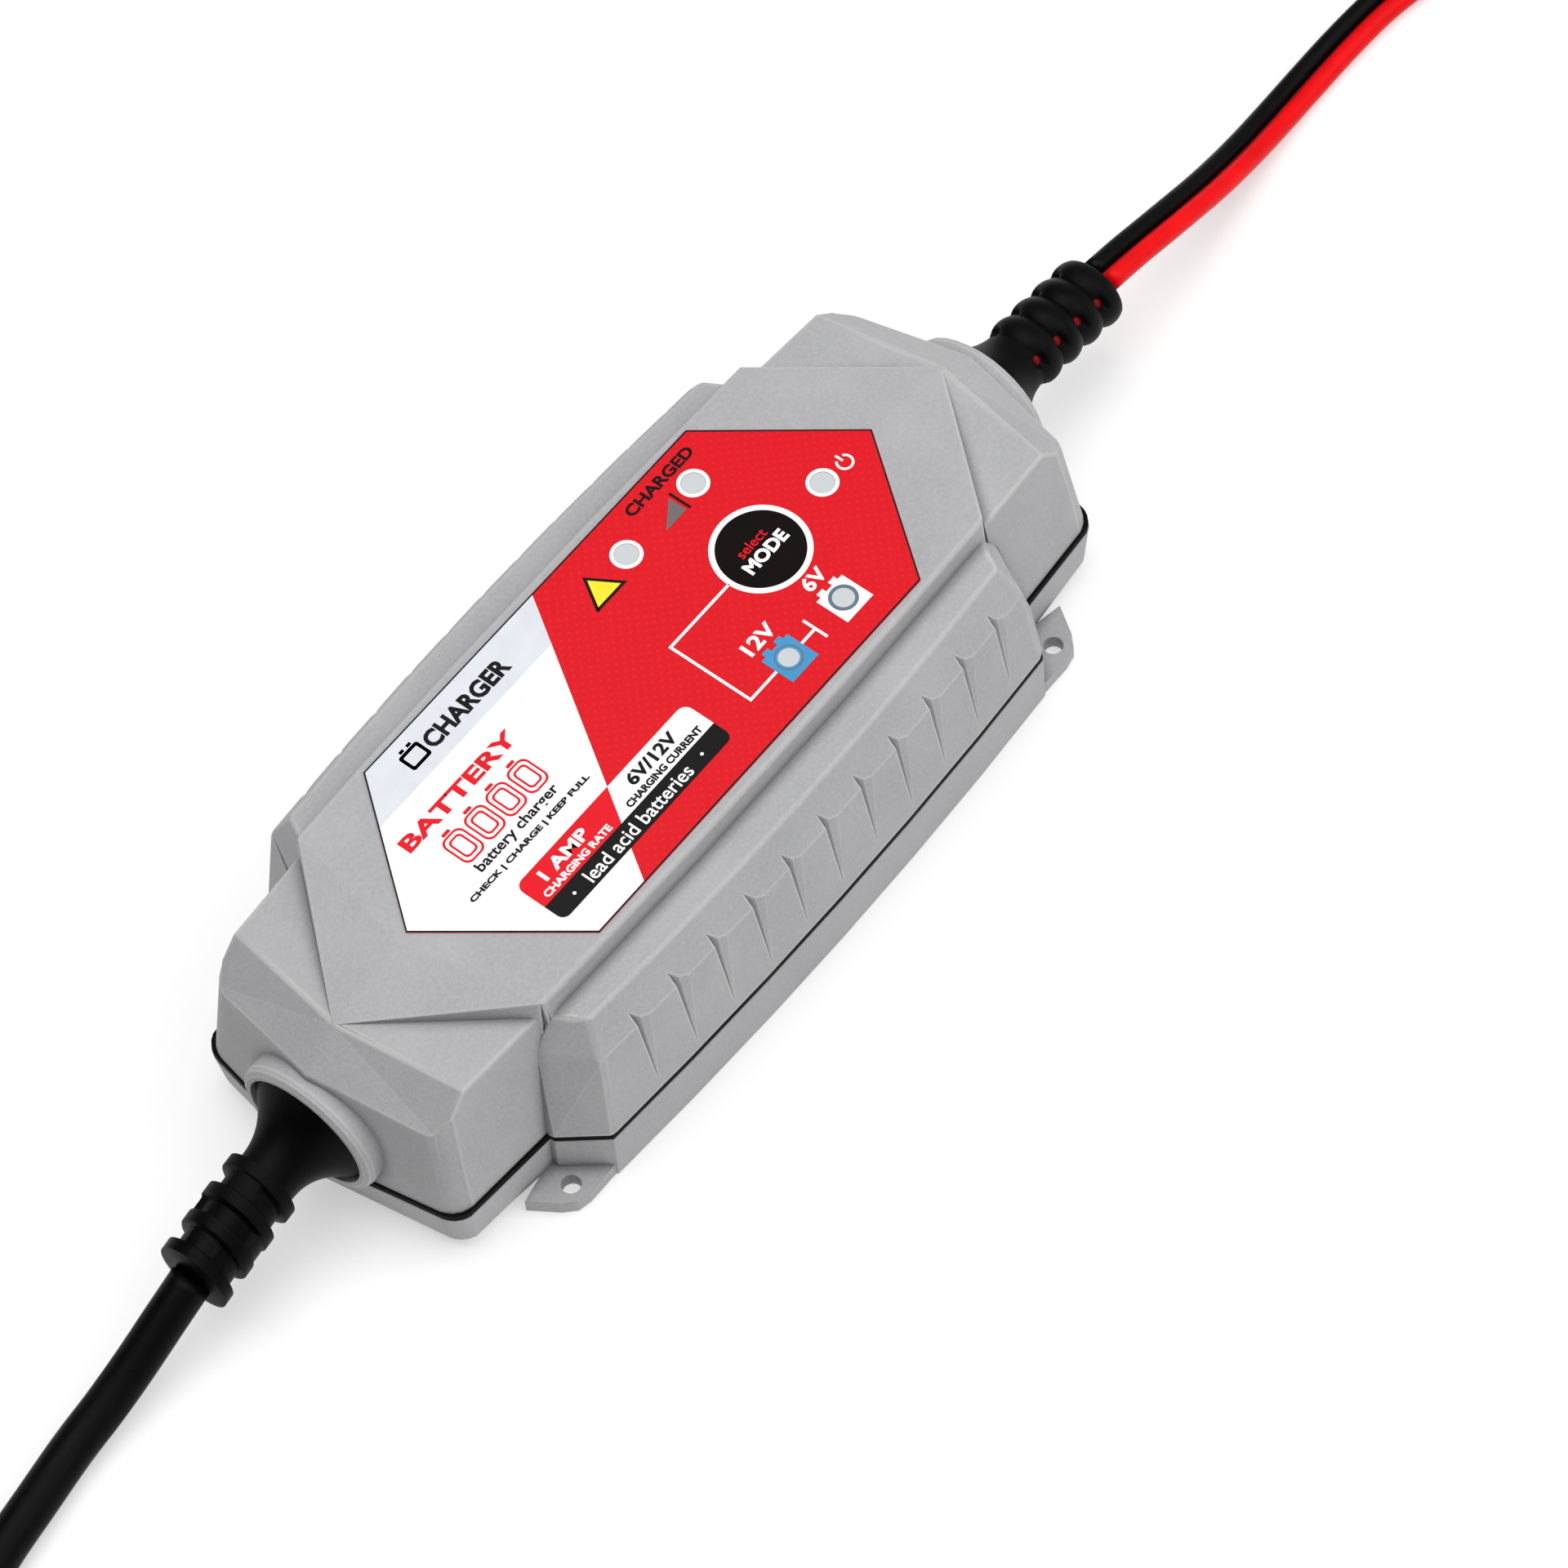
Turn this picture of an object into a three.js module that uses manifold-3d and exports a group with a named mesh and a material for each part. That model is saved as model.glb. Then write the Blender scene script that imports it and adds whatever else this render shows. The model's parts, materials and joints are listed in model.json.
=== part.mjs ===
// A small sealed car battery charger: a faceted two-part case with a membrane panel, its board and
// electronics, a mains lead with a flat two-pin plug, and a red and black battery lead with two clips.
// Frame: millimetres, +X along the case towards the battery lead, +Z up, origin under the middle of
// the case on the surface that it stands on.
import * as THREE from "three";
import { mergeVertices } from "three/addons/utils/BufferGeometryUtils.js";
import Module from "manifold-3d";

const wasm = await Module();
wasm.setup();

// ---------------------------------------------------------------- driving dimensions
const TOP_Z = 41; // plateau of the top cover
const SHOULDER_Z = 36.6; // narrow shelf along both long sides
const CREASE_Z = 30.3; // fold between the shoulder slope and the ribbed face
const PARTING_Z = 11.3; // middle of the seam between the two shells
const SEAM = 1.2; // height of the seam that the seal shows in
const WALL = 2.4; // shell thickness
const SIDE_BOW = 1.7; // how far each long side bulges at its middle
const CLEAR = 0.3; // gap kept between neighbouring pieces

const EAR = { x: 59.7, y: 30.9, hole: 1.6, thick: 2.8 }; // fixing ears, one in each corner notch
const RIB = { count: 11, pitch: 8.65, low: 13, high: 33.4, depth: 1.25 }; // saw-tooth grooves of a long side
const PORT = { z: 19.1, mouth: 10.7, collar: 12.6, x: 82.6 }; // round collar that holds each boot
const CORNER_RADIUS = 4.2; // of the four upright corners at the ends

const LABEL = { tip: 55.6, corner: 38.4, half: 23, thick: 0.2 }; // six-sided panel
const BUTTON = { x: 28.3, radius: 7.05, travel: 0.5 };
const LAMPS = {
  fault: [15.3, 15.9],
  charged: [31.5, 15.9],
  power: [43.4, 0],
  six_volt: [28.9, -15.6],
  twelve_volt: [15.6, -15.6],
};
const LAMP_RADIUS = 1.95;

const BOARD = { length: 112, width: 44, z: 6.4, thick: 1.6 };
const PANEL_BOARD = { x: 27, length: 48, width: 40, z: 30, thick: 1.6 };
const CASE_SCREWS = [
  [66, 16],
  [66, -16],
  [-66, 16],
  [-66, -16],
];
const BOARD_POSTS = [
  [50, 17],
  [50, -17],
  [-50, 17],
  [-50, -17],
];

const MAINS_D = 6.8; // mains lead
const WIRE_D = 3.4; // each core of the battery lead
const MAINS_EXIT = [-109.5, 0, 13]; // end of the mains boot
const WIRE_EXIT = [113, 0, 16.6]; // end of the battery boot
const MAINS_COIL = { x: -224, y: 6, lanes: 3, layers: 2 };
const WIRE_COIL = { x: 238, y: 12, lanes: 4, layers: 4 };

// ---------------------------------------------------------------- materials
const finish = (color, roughness, metalness = 0) =>
  new THREE.MeshStandardMaterial({ color, roughness, metalness });
const shellGrey = finish(0xa9abaf, 0.6);
const sealBlack = finish(0x101010, 0.7);
const panelRed = finish(0xd8101c, 0.4);
const buttonBlack = finish(0x1b1b1b, 0.45);
const lensWhite = finish(0xdde2e4, 0.3);
const boardGreen = finish(0x1d5b34, 0.5);
const rubberBlack = finish(0x0c0c0d, 0.6);
const wireRed = finish(0xd3060f, 0.4);
const steel = finish(0xb9bcc0, 0.3, 1);
const brass = finish(0xc9a74e, 0.3, 1);
const ferrite = finish(0x34312f, 0.7);
const tapeYellow = finish(0xd9b52a, 0.5);
const sleeveBlue = finish(0x1f3f77, 0.4);
const plasticWhite = finish(0xe8e6e0, 0.5);
const icBlack = finish(0x161616, 0.5);
const aluminium = finish(0x9a9da1, 0.4, 1);
const glass = finish(0xc8d2d4, 0.1);

// ---------------------------------------------------------------- solids
function solid(geometry) {
  const bare = geometry.index ? geometry.toNonIndexed() : geometry.clone();
  for (const name of ["normal", "uv"]) bare.deleteAttribute(name);
  const merged = mergeVertices(bare, 1e-4);
  return new wasm.Manifold(
    new wasm.Mesh({
      numProp: 3,
      vertProperties: merged.attributes.position.array,
      triVerts: new Uint32Array(merged.index.array),
    }),
  );
}

function geometryOf(manifold) {
  const mesh = manifold.getMesh();
  const geometry = new THREE.BufferGeometry();
  const positions = new THREE.BufferAttribute(mesh.vertProperties, mesh.numProp);
  geometry.setAttribute("position", positions);
  geometry.setIndex(new THREE.BufferAttribute(mesh.triVerts, 1));
  const flat = geometry.toNonIndexed();
  flat.computeVertexNormals();
  return flat;
}

const join = (...shapes) => shapes.reduce((whole, shape) => whole.add(shape));
const cut = (body, ...tools) => tools.reduce((rest, tool) => rest.subtract(tool), body);

const charger = new THREE.Group();
function place(name, shape, material, parent = charger) {
  const geometry = shape.isBufferGeometry ? shape : geometryOf(shape);
  const mesh = new THREE.Mesh(geometry, material);
  mesh.name = name;
  parent.add(mesh);
  return mesh;
}

// A closed skin over rings of points, all rings with the same count, each ring convex.
function loft(rings) {
  const count = rings[0].length;
  const points = rings.flat();
  const index = [];
  for (let level = 0; level + 1 < rings.length; level++) {
    for (let k = 0; k < count; k++) {
      const a = level * count + k;
      const b = level * count + ((k + 1) % count);
      index.push(a, b, b + count, a, b + count, a + count);
    }
  }
  const last = (rings.length - 1) * count;
  for (let k = 1; k + 1 < count; k++) {
    index.push(0, k + 1, k);
    index.push(last, last + k, last + k + 1);
  }
  const geometry = new THREE.BufferGeometry();
  geometry.setAttribute("position", new THREE.Float32BufferAttribute(points.flat(), 3));
  geometry.setIndex(index);
  return solid(geometry);
}

const block = (x, y, z, cx, cy, cz) => solid(new THREE.BoxGeometry(x, y, z).translate(cx, cy, cz));

function upright(radius, low, high, x = 0, y = 0, sides = 24) {
  const geometry = new THREE.CylinderGeometry(radius, radius, high - low, sides);
  return solid(geometry.rotateX(Math.PI / 2).translate(x, y, (low + high) / 2));
}

// A turned solid about Z from [radius, height] pairs that run up its outside.
function turned(profile, sides = 28) {
  const outline = profile.map(([r, z]) => new THREE.Vector2(r, z));
  return solid(new THREE.LatheGeometry(outline, sides).rotateX(Math.PI / 2));
}

// A plate: an outline in XY raised from z = low to z = high.
function plate(outline, low, high, holes = []) {
  const shape = new THREE.Shape(outline.map(([x, y]) => new THREE.Vector2(x, y)));
  for (const [x, y, r] of holes) {
    const hole = new THREE.Path();
    hole.absarc(x, y, r, 0, 2 * Math.PI, true);
    shape.holes.push(hole);
  }
  const settings = { depth: high - low, bevelEnabled: false, curveSegments: 10 };
  return solid(new THREE.ExtrudeGeometry(shape, settings).translate(0, 0, low));
}

const vectors = (points) => points.map(([x, y, z]) => new THREE.Vector3(x, y, z));

// A round cord through the given points.
function cord(points, diameter, sides, steps) {
  const path = new THREE.CatmullRomCurve3(vectors(points), false, "centripetal");
  const section = new THREE.Shape();
  for (let k = 0; k < sides; k++) {
    const turn = (2 * Math.PI * k) / sides;
    const [x, y] = [(diameter / 2) * Math.cos(turn), (diameter / 2) * Math.sin(turn)];
    if (k === 0) section.moveTo(x, y);
    else section.lineTo(x, y);
  }
  section.closePath();
  return solid(new THREE.ExtrudeGeometry(section, { steps, extrudePath: path }));
}

// ---------------------------------------------------------------- case outline
// Corner places of a level of the case. x runs to the battery end, y to the side; the other three
// quarters mirror them. inset moves every wall inwards.
const LEVELS = {
  floor: { z: 0, centre: [52.9, 34.4], notch: [58.5, 27.4], end: [77.2, 25], apex: 81.4 },
  parting: { z: PARTING_Z, centre: [52.9, 34.5], notch: [58.5, 27.6], end: [78.1, 25.5], apex: 82.7 },
  crease: { z: CREASE_Z, centre: [51, 32.6], notch: [55.6, 23.9], end: [75.5, 22], apex: 80 },
  shoulder: { z: SHOULDER_Z, centre: [49.1, 29.2], notch: [51.8, 24.3], end: [69.5, 22.7], apex: 73 },
};

// Upright corners at the ends: the corner and a place on each wall beside it, level by level.
const COVER_CORNERS = [
  { z: 7.3, corner: [78.1, 25.5], notch: [44, 27.6], apex: [82.7, 0] },
  { z: 30.6, corner: [75.8, 22.5], notch: [44, 24.5], apex: [80.2, 0] },
  { z: 38.6, corner: [75, 21.5], notch: [43.2, 23.5], apex: [79.3, 0] },
];
const BASE_CORNERS = [
  { z: -0.1, corner: [75.55, 23.55], notch: [58.5, 26.6], apex: [79.7, 0] },
  { z: 3, corner: [77.2, 25], notch: [58.5, 27.4], apex: [81.4, 0] },
  { z: 11.3, corner: [78.1, 25.5], notch: [58.5, 27.6], apex: [82.7, 0] },
];
const SEAL_INSET = 0.12;
const SEAL_CORNERS = [8, 14].map((z) => ({
  z,
  corner: [78.1 - SEAL_INSET, 25.5 - SEAL_INSET],
  notch: [58.5 - SEAL_INSET, 27.6 - SEAL_INSET],
  apex: [82.7 - SEAL_INSET, 0],
}));

const BOW_STEPS = 6; // straight stretches in each bowed long side
function bowed(halfLength, y, bow = SIDE_BOW) {
  const points = [];
  for (let k = 0; k <= BOW_STEPS; k++) {
    const x = halfLength * (1 - (2 * k) / BOW_STEPS);
    points.push([x, y + bow * (1 - (x / halfLength) ** 2)]);
  }
  return points;
}

// The eight-cornered middle block of the case at one level, anticlockwise from above.
function middleRing(level, z, inset = 0) {
  const [cx, cy] = [level.centre[0] - inset, level.centre[1] - inset];
  const [nx, ny] = [level.notch[0] - inset, level.notch[1] - inset];
  const top = bowed(cx, cy);
  const bottom = bowed(cx, cy).map(([x, y]) => [-x, -y]);
  const ring = [[nx, -ny], [nx, ny], ...top, [-nx, ny], [-nx, -ny], ...bottom];
  return ring.map(([x, y]) => [x, y, z]);
}

// One narrow end of the case at one level: side is +1 at the battery end and -1 at the mains end.
function endRing(level, z, side, inset = 0) {
  const [nx, ny] = [level.notch[0] - 12, level.notch[1] - inset];
  const [ex, ey] = [level.end[0] - inset, level.end[1] - inset];
  const ring = [[nx, -ny], [ex, -ey], [level.apex - inset, 0], [ex, ey], [nx, ny]];
  return ring.map(([x, y]) => [side * x, side * y, z]);
}

// The faceted head of one end: a star point on the axis, two side facets and two end facets.
function endHead(side, inset) {
  const { parting } = LEVELS;
  const corners = {
    innerLow: [44, 27.6 - inset, parting.z - 4],
    endLow: [78.1 - inset, 25.5 - inset, parting.z - 4],
    apexLow: [82.7 - inset, 0, parting.z - 4],
    endHigh: [75.8 - inset, 22.5 - inset, 30.6 - inset / 2],
    apexHigh: [80 - inset, 0, 32.7 - inset / 2],
    cheek: [69.5 - inset, 22.4 - inset, 37.15 - inset],
    innerHigh: [44, 23.75 - inset, 37.5 - inset],
    star: [72.9 - inset, 0, 38.05 - inset],
    innerStar: [44, 0, 37.5 - inset],
  };
  const at = (name, mirror) => {
    const [x, y, z] = corners[name];
    return [side * x, mirror * side * y, z];
  };
  const names = Object.keys(corners);
  const points = [...names.map((name) => at(name, 1)), ...names.map((name) => at(name, -1))];
  const id = (name, mirror) => names.indexOf(name) + (mirror < 0 ? names.length : 0);
  // Faces of the +y half, anticlockwise from outside; the other half runs the other way.
  const half = [
    ["endLow", "cheek", "endHigh"],
    ["endLow", "innerLow", "cheek"],
    ["innerLow", "innerHigh", "cheek"],
    ["innerHigh", "star", "cheek"],
    ["innerHigh", "innerStar", "star"],
    ["star", "endHigh", "cheek"],
    ["star", "apexHigh", "endHigh"],
    ["apexHigh", "endLow", "endHigh"],
    ["apexHigh", "apexLow", "endLow"],
    ["apexLow", "innerLow", "endLow"],
  ];
  const index = [];
  for (const [a, b, c] of half) {
    index.push(id(a, 1), id(b, 1), id(c, 1));
    index.push(id(a, -1), id(c, -1), id(b, -1));
  }
  // The flat face towards the middle of the case, and the underside between the two halves.
  const back = ["innerLow", "innerHigh", "innerStar"].map((name) => id(name, 1));
  const backOther = ["innerLow", "innerStar", "innerHigh"].map((name) => id(name, -1));
  index.push(back[0], back[2], back[1], backOther[0], backOther[2], backOther[1]);
  index.push(id("innerLow", 1), id("innerLow", -1), id("innerStar", 1));
  index.push(id("apexLow", 1), id("innerLow", -1), id("innerLow", 1));
  const geometry = new THREE.BufferGeometry();
  geometry.setAttribute("position", new THREE.Float32BufferAttribute(points.flat(), 3));
  geometry.setIndex(index);
  return solid(geometry);
}

// The plateau that carries the panel: long bowed edges, and a low wedge at each end whose two
// facets fall from the plateau's tip to the star point and stand proud as thin triangular steps.
function plateau(inset) {
  const [tip, cornerX, cornerY, star] = [57.4, 52.6, 24, 72.9];
  const low = CREASE_Z;
  const edge = (z, x, y) => bowed(x, y, 0.9).map(([px, py]) => [px, py, z]);
  const ring = (z, tipX, x, y) => {
    const side = edge(z, x, y);
    return [[tipX, 0, z], ...side, [-tipX, 0, z], ...side.map(([px, py]) => [-px, -py, z])];
  };
  const [x, y] = [cornerX - inset, cornerY - inset];
  const body = loft([
    ring(low, tip - inset, x, y + 0.4),
    ring(SHOULDER_Z - inset, tip - inset, x, y + 0.4),
    ring(TOP_Z - inset, tip - inset, x, y),
  ]);
  const wedges = [1, -1].map((side) => {
    const z = TOP_Z - inset;
    const starZ = 38.05 - inset;
    const rings = [
      [
        [side * (tip - inset), 0, low],
        [side * (cornerX + 1.4 - inset), -side * y, low],
        [side * (star - inset), 0, low],
        [side * (cornerX + 1.4 - inset), side * y, low],
      ],
      [
        [side * (tip - inset), 0, z],
        [side * x, -side * y, z],
        [side * (star - inset), 0, starZ],
        [side * x, side * y, z],
      ],
    ];
    return hullOf(rings.flat());
  });
  return join(body, ...wedges);
}

// The solid spanned by the given corner points.
function hullOf(points) {
  return wasm.Manifold.hull(points);
}

// ---------------------------------------------------------------- case
// Everything inside the outer skin of the top cover, or inside its cavity when inset is the wall.
function coverForm(inset, low) {
  const { parting, crease, shoulder } = LEVELS;
  const middle = loft([
    middleRing(parting, low, inset),
    middleRing(crease, CREASE_Z - inset / 2, inset),
    middleRing(shoulder, SHOULDER_Z - inset, inset),
  ]);
  return join(middle, endHead(1, inset), endHead(-1, inset), plateau(inset));
}

// Where the ribbed wall stands at a place along the case and a height.
function wallY(x, z) {
  const [low, high] = [LEVELS.parting.centre, LEVELS.crease.centre];
  const t = (z - PARTING_Z - SEAM / 2) / (CREASE_Z - PARTING_Z - SEAM / 2);
  const half = low[0] + (high[0] - low[0]) * t;
  return low[1] + (high[1] - low[1]) * t + SIDE_BOW * (1 - (x / half) ** 2);
}

// A saw-tooth groove: a steep step at its -x edge, a hollow ramp back to the wall, and a point below.
function ribGroove(x, side) {
  const { low, high, depth } = RIB;
  const toe = x + 1.2;
  const ramp = [
    [0, 1],
    [1.3, 0.36],
    [3.5, 0],
  ];
  const wedges = ramp.slice(1).map((end, k) => {
    const points = [];
    for (const [along, share] of [ramp[k], end]) {
      points.push([x + along, side * (wallY(x + along, high) - share * depth), high]);
      points.push([x + along, side * (wallY(x + along, high) + 2), high]);
    }
    points.push([toe, side * wallY(toe, low), low], [toe, side * (wallY(toe, low) + 2), low]);
    return hullOf(points);
  });
  return join(...wedges);
}

function ribGrooves() {
  const grooves = [];
  for (let k = 0; k < RIB.count; k++) {
    const x = (k - (RIB.count - 1) / 2) * RIB.pitch;
    grooves.push(ribGroove(x, 1), ribGroove(x, -1));
  }
  return grooves;
}

// What rounds one upright corner: each level gives its height, the corner, and a place on each of
// the two walls that meet there.
function cornerTrim(levels, sx, sy) {
  const steps = 5;
  const outside = [];
  const kept = [];
  for (const { z, corner, notch, apex } of levels) {
    const [c, n, a] = [corner, notch, apex].map(([x, y]) => new THREE.Vector2(sx * x, sy * y));
    const [toNotch, toApex] = [n.sub(c).normalize(), a.sub(c).normalize()];
    const half = Math.acos(toNotch.dot(toApex)) / 2;
    const inwards = toNotch.clone().add(toApex).normalize();
    const centre = c.clone().addScaledVector(inwards, CORNER_RADIUS / Math.sin(half));
    const reach = CORNER_RADIUS / Math.tan(half);
    const ends = [toNotch, toApex].map((way) => c.clone().addScaledVector(way, reach));
    for (const { x, y } of [...ends, c.clone().addScaledVector(inwards, -2)]) outside.push([x, y, z]);
    for (let k = 0; k <= steps; k++) {
      const way = ends[0].clone().lerp(ends[1], k / steps).sub(centre).setLength(CORNER_RADIUS);
      kept.push([centre.x + way.x, centre.y + way.y, z]);
    }
    kept.push([centre.x, centre.y, z]);
  }
  return cut(hullOf(outside), hullOf(kept));
}

// The trims of all four upright corners.
function cornerTrims(levels) {
  const trims = [];
  for (const sx of [1, -1]) {
    for (const sy of [1, -1]) trims.push(cornerTrim(levels, sx, sy));
  }
  return trims;
}

// A ring about X, or a plain disc when inner is 0, from x = from to x = to on one end of the case.
function collarRing(side, outer, inner, from, to, sides = 32) {
  const profile = [
    [inner, from],
    [outer, from],
    [outer, to - 1.3],
    [outer - 0.3, to - 0.5],
    [outer - 1.1, to],
    [inner, to],
  ];
  const closed = inner > 0 ? [...profile, [inner, from]] : profile;
  const outline = closed.map(([r, x]) => new THREE.Vector2(r, x));
  const geometry = new THREE.LatheGeometry(outline, sides);
  geometry.rotateZ(side > 0 ? -Math.PI / 2 : Math.PI / 2).translate(0, 0, PORT.z);
  return solid(geometry);
}

function topCover() {
  const outer = coverForm(0, PARTING_Z + SEAM / 2);
  const cavity = coverForm(WALL, PARTING_Z - 6);
  const below = block(220, 120, 20, 0, 0, PARTING_Z + SEAM / 2 - 10);
  const collars = [1, -1].map((side) => collarRing(side, PORT.collar, 0, 70, PORT.x));
  const mouths = [1, -1].map((side) => collarRing(side, PORT.mouth, 0, PORT.x - 6, PORT.x + 4));
  const throats = [1, -1].map((side) => collarRing(side, 6, 0, 60, PORT.x + 4));
  const corners = cornerTrims(COVER_CORNERS);
  const hood = cut(join(cut(outer, ...corners), ...collars), cavity, ...mouths, ...throats);
  const shell = cut(hood, cut(below, ...collars));
  const bosses = CASE_SCREWS.map(([x, y]) => upright(3.2, PARTING_Z + SEAM / 2, 35.2, x, y, 16));
  const pilots = CASE_SCREWS.map(([x, y]) => upright(1.5, 4, 26, x, y, 12));
  const lampHoles = Object.values(LAMPS).map(([x, y]) => upright(LAMP_RADIUS + CLEAR, 34, 44, x, y));
  const stemHole = upright(2.6, 34, 44, BUTTON.x, 0);
  const recess = upright(BUTTON.radius + CLEAR, TOP_Z - 1.5, 44, BUTTON.x, 0, 32);
  const holes = [...pilots, ...lampHoles, stemHole, recess, ...ribGrooves()];
  return cut(join(shell, ...bosses), ...holes);
}

function baseShell() {
  const { floor, parting } = LEVELS;
  const high = PARTING_Z - SEAM / 2;
  const chamfer = { ...floor, end: [75.6, 23.6], apex: 79.8, notch: [58.5, 26.6] };
  const ends = [1, -1].map((side) =>
    loft([endRing(chamfer, 0, side), endRing(floor, 3, side), endRing(parting, high, side)]),
  );
  const outer = join(loft([middleRing(floor, 0), middleRing(parting, high)]), ...ends);
  const hollowEnds = [1, -1].map((side) =>
    loft([endRing(floor, WALL, side, WALL), endRing(parting, high + 1, side, WALL)]),
  );
  const middle = loft([middleRing(floor, WALL, WALL), middleRing(parting, high + 1, WALL)]);
  const cavity = join(middle, ...hollowEnds);
  const ears = [];
  const earHoles = [];
  for (const sx of [1, -1]) {
    for (const sy of [1, -1]) {
      const outline = [
        [50, 24],
        [66.2, 27.2],
        [63.2, 31.8],
        [61.4, 33.6],
        [59, 34.1],
        [50, 34.1],
      ].map(([x, y]) => [sx * x, sy * y]);
      ears.push(plate(outline, 0, EAR.thick));
      earHoles.push(upright(EAR.hole, -1, EAR.thick + 1, sx * EAR.x, sy * EAR.y, 20));
    }
  }
  const columns = CASE_SCREWS.map(([x, y]) => upright(3.2, 0.5, high, x, y, 16));
  const posts = BOARD_POSTS.map(([x, y]) => upright(3, 0.5, BOARD.z, x, y, 16));
  const bores = CASE_SCREWS.map(([x, y]) => upright(1.8, -1, high + 1, x, y, 12));
  const sinks = CASE_SCREWS.map(([x, y]) => upright(2.9, -1, 3, x, y, 16));
  const pilots = BOARD_POSTS.map(([x, y]) => upright(1.3, 2, BOARD.z + 1, x, y, 12));
  const collarRoom = [1, -1].map((side) => collarRing(side, PORT.collar + CLEAR, 0, 60, 92));
  const walls = cut(outer, cavity, ...cornerTrims(BASE_CORNERS));
  const shell = join(walls, ...ears, ...columns, ...posts);
  return cut(shell, ...bores, ...sinks, ...pilots, ...earHoles, ...collarRoom);
}

// One of the two strips of the seal, which follow the seam a little inside the shells' outer faces
// along one long side each and end at the collars.
function seamSeal(side) {
  const { parting } = LEVELS;
  const [low, high] = [PARTING_Z - SEAM / 2 + 0.05, PARTING_Z + SEAM / 2 - 0.05];
  const form = (inset, from, to) => {
    const ends = [1, -1].map((end) =>
      loft([endRing(parting, from, end, inset), endRing(parting, to, end, inset)]),
    );
    return join(loft([middleRing(parting, from, inset), middleRing(parting, to, inset)]), ...ends);
  };
  const collarRoom = [1, -1].map((end) => collarRing(end, PORT.collar + CLEAR, 0, 60, 92));
  const otherHalf = block(220, 100, 10, 0, -side * 50, PARTING_Z);
  const hollow = form(WALL - 0.1, low - 1, high + 1);
  return cut(form(SEAL_INSET, low, high), hollow, ...cornerTrims(SEAL_CORNERS), ...collarRoom, otherHalf);
}

// ---------------------------------------------------------------- panel, button, lamps
function frontLabel() {
  const outline = [
    [LABEL.tip, 0],
    [LABEL.corner, LABEL.half],
    [-LABEL.corner, LABEL.half],
    [-LABEL.tip, 0],
    [-LABEL.corner, -LABEL.half],
    [LABEL.corner, -LABEL.half],
  ];
  const holes = Object.values(LAMPS).map(([x, y]) => [x, y, LAMP_RADIUS + CLEAR]);
  holes.push([BUTTON.x, 0, BUTTON.radius + CLEAR]);
  return plate(outline, TOP_Z, TOP_Z + LABEL.thick, holes);
}

function modeButton() {
  const cap = upright(BUTTON.radius, TOP_Z - 0.9, TOP_Z + LABEL.thick, BUTTON.x, 0, 32);
  const stem = upright(2, 35.6, TOP_Z - 0.5, BUTTON.x, 0, 16);
  return join(cap, stem);
}

function buildPanel() {
  place("front_label", frontLabel(), panelRed);
  place("mode_button", modeButton(), buttonBlack);
  place("switch_plunger", upright(1.6, 34.4, 35.5, BUTTON.x, 0, 16), plasticWhite);
  for (const [name, [x, y]] of Object.entries(LAMPS)) {
    const pipe = upright(LAMP_RADIUS, 33.8, TOP_Z + LABEL.thick, x, y, 20);
    place(`light_pipe_${name}`, pipe, lensWhite);
  }
}

// ---------------------------------------------------------------- electronics
function boardPlate({ x = 0, length, width, z, thick }, holes) {
  const [a, b] = [length / 2, width / 2];
  const outline = [
    [x - a, -b],
    [x + a, -b],
    [x + a, b],
    [x - a, b],
  ];
  return plate(outline, z, z + thick, holes);
}

function buildBoards() {
  const screwHoles = BOARD_POSTS.map(([x, y]) => [x, y, 1.8]);
  place("main_board", boardPlate(BOARD, screwHoles), boardGreen);
  place("panel_board", boardPlate(PANEL_BOARD, []), boardGreen);
  const deck = BOARD.z + BOARD.thick;
  const underPanel = PANEL_BOARD.z - CLEAR;
  const header = block(14, 2.5, underPanel - deck - CLEAR, 27, 17, (underPanel + deck + CLEAR) / 2);
  place("pin_header", header, icBlack);
  const panelDeck = PANEL_BOARD.z + PANEL_BOARD.thick;
  const housing = block(6, 6, 2.6, BUTTON.x, 0, panelDeck + 1.3 + 0.05);
  const well = upright(1.9, panelDeck + 1.2, panelDeck + 5, BUTTON.x, 0, 16);
  place("tact_switch", cut(housing, well), icBlack);
  place("microcontroller", block(7, 7, 1.2, 10, 0, panelDeck + 0.65), icBlack);
  for (const [name, [x, y]] of Object.entries(LAMPS)) {
    const chip = block(3, 2.6, 1.8, x, y, panelDeck + 0.95);
    place(`led_${name}`, chip, plasticWhite);
  }
  BOARD_POSTS.forEach(([x, y], k) => {
    const head = upright(2.7, deck + 0.05, deck + 2, x, y, 16);
    const shank = upright(1.2, 3, deck + 1, x, y, 12);
    place(`board_screw_${k + 1}`, join(head, shank), steel);
  });
}

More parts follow.
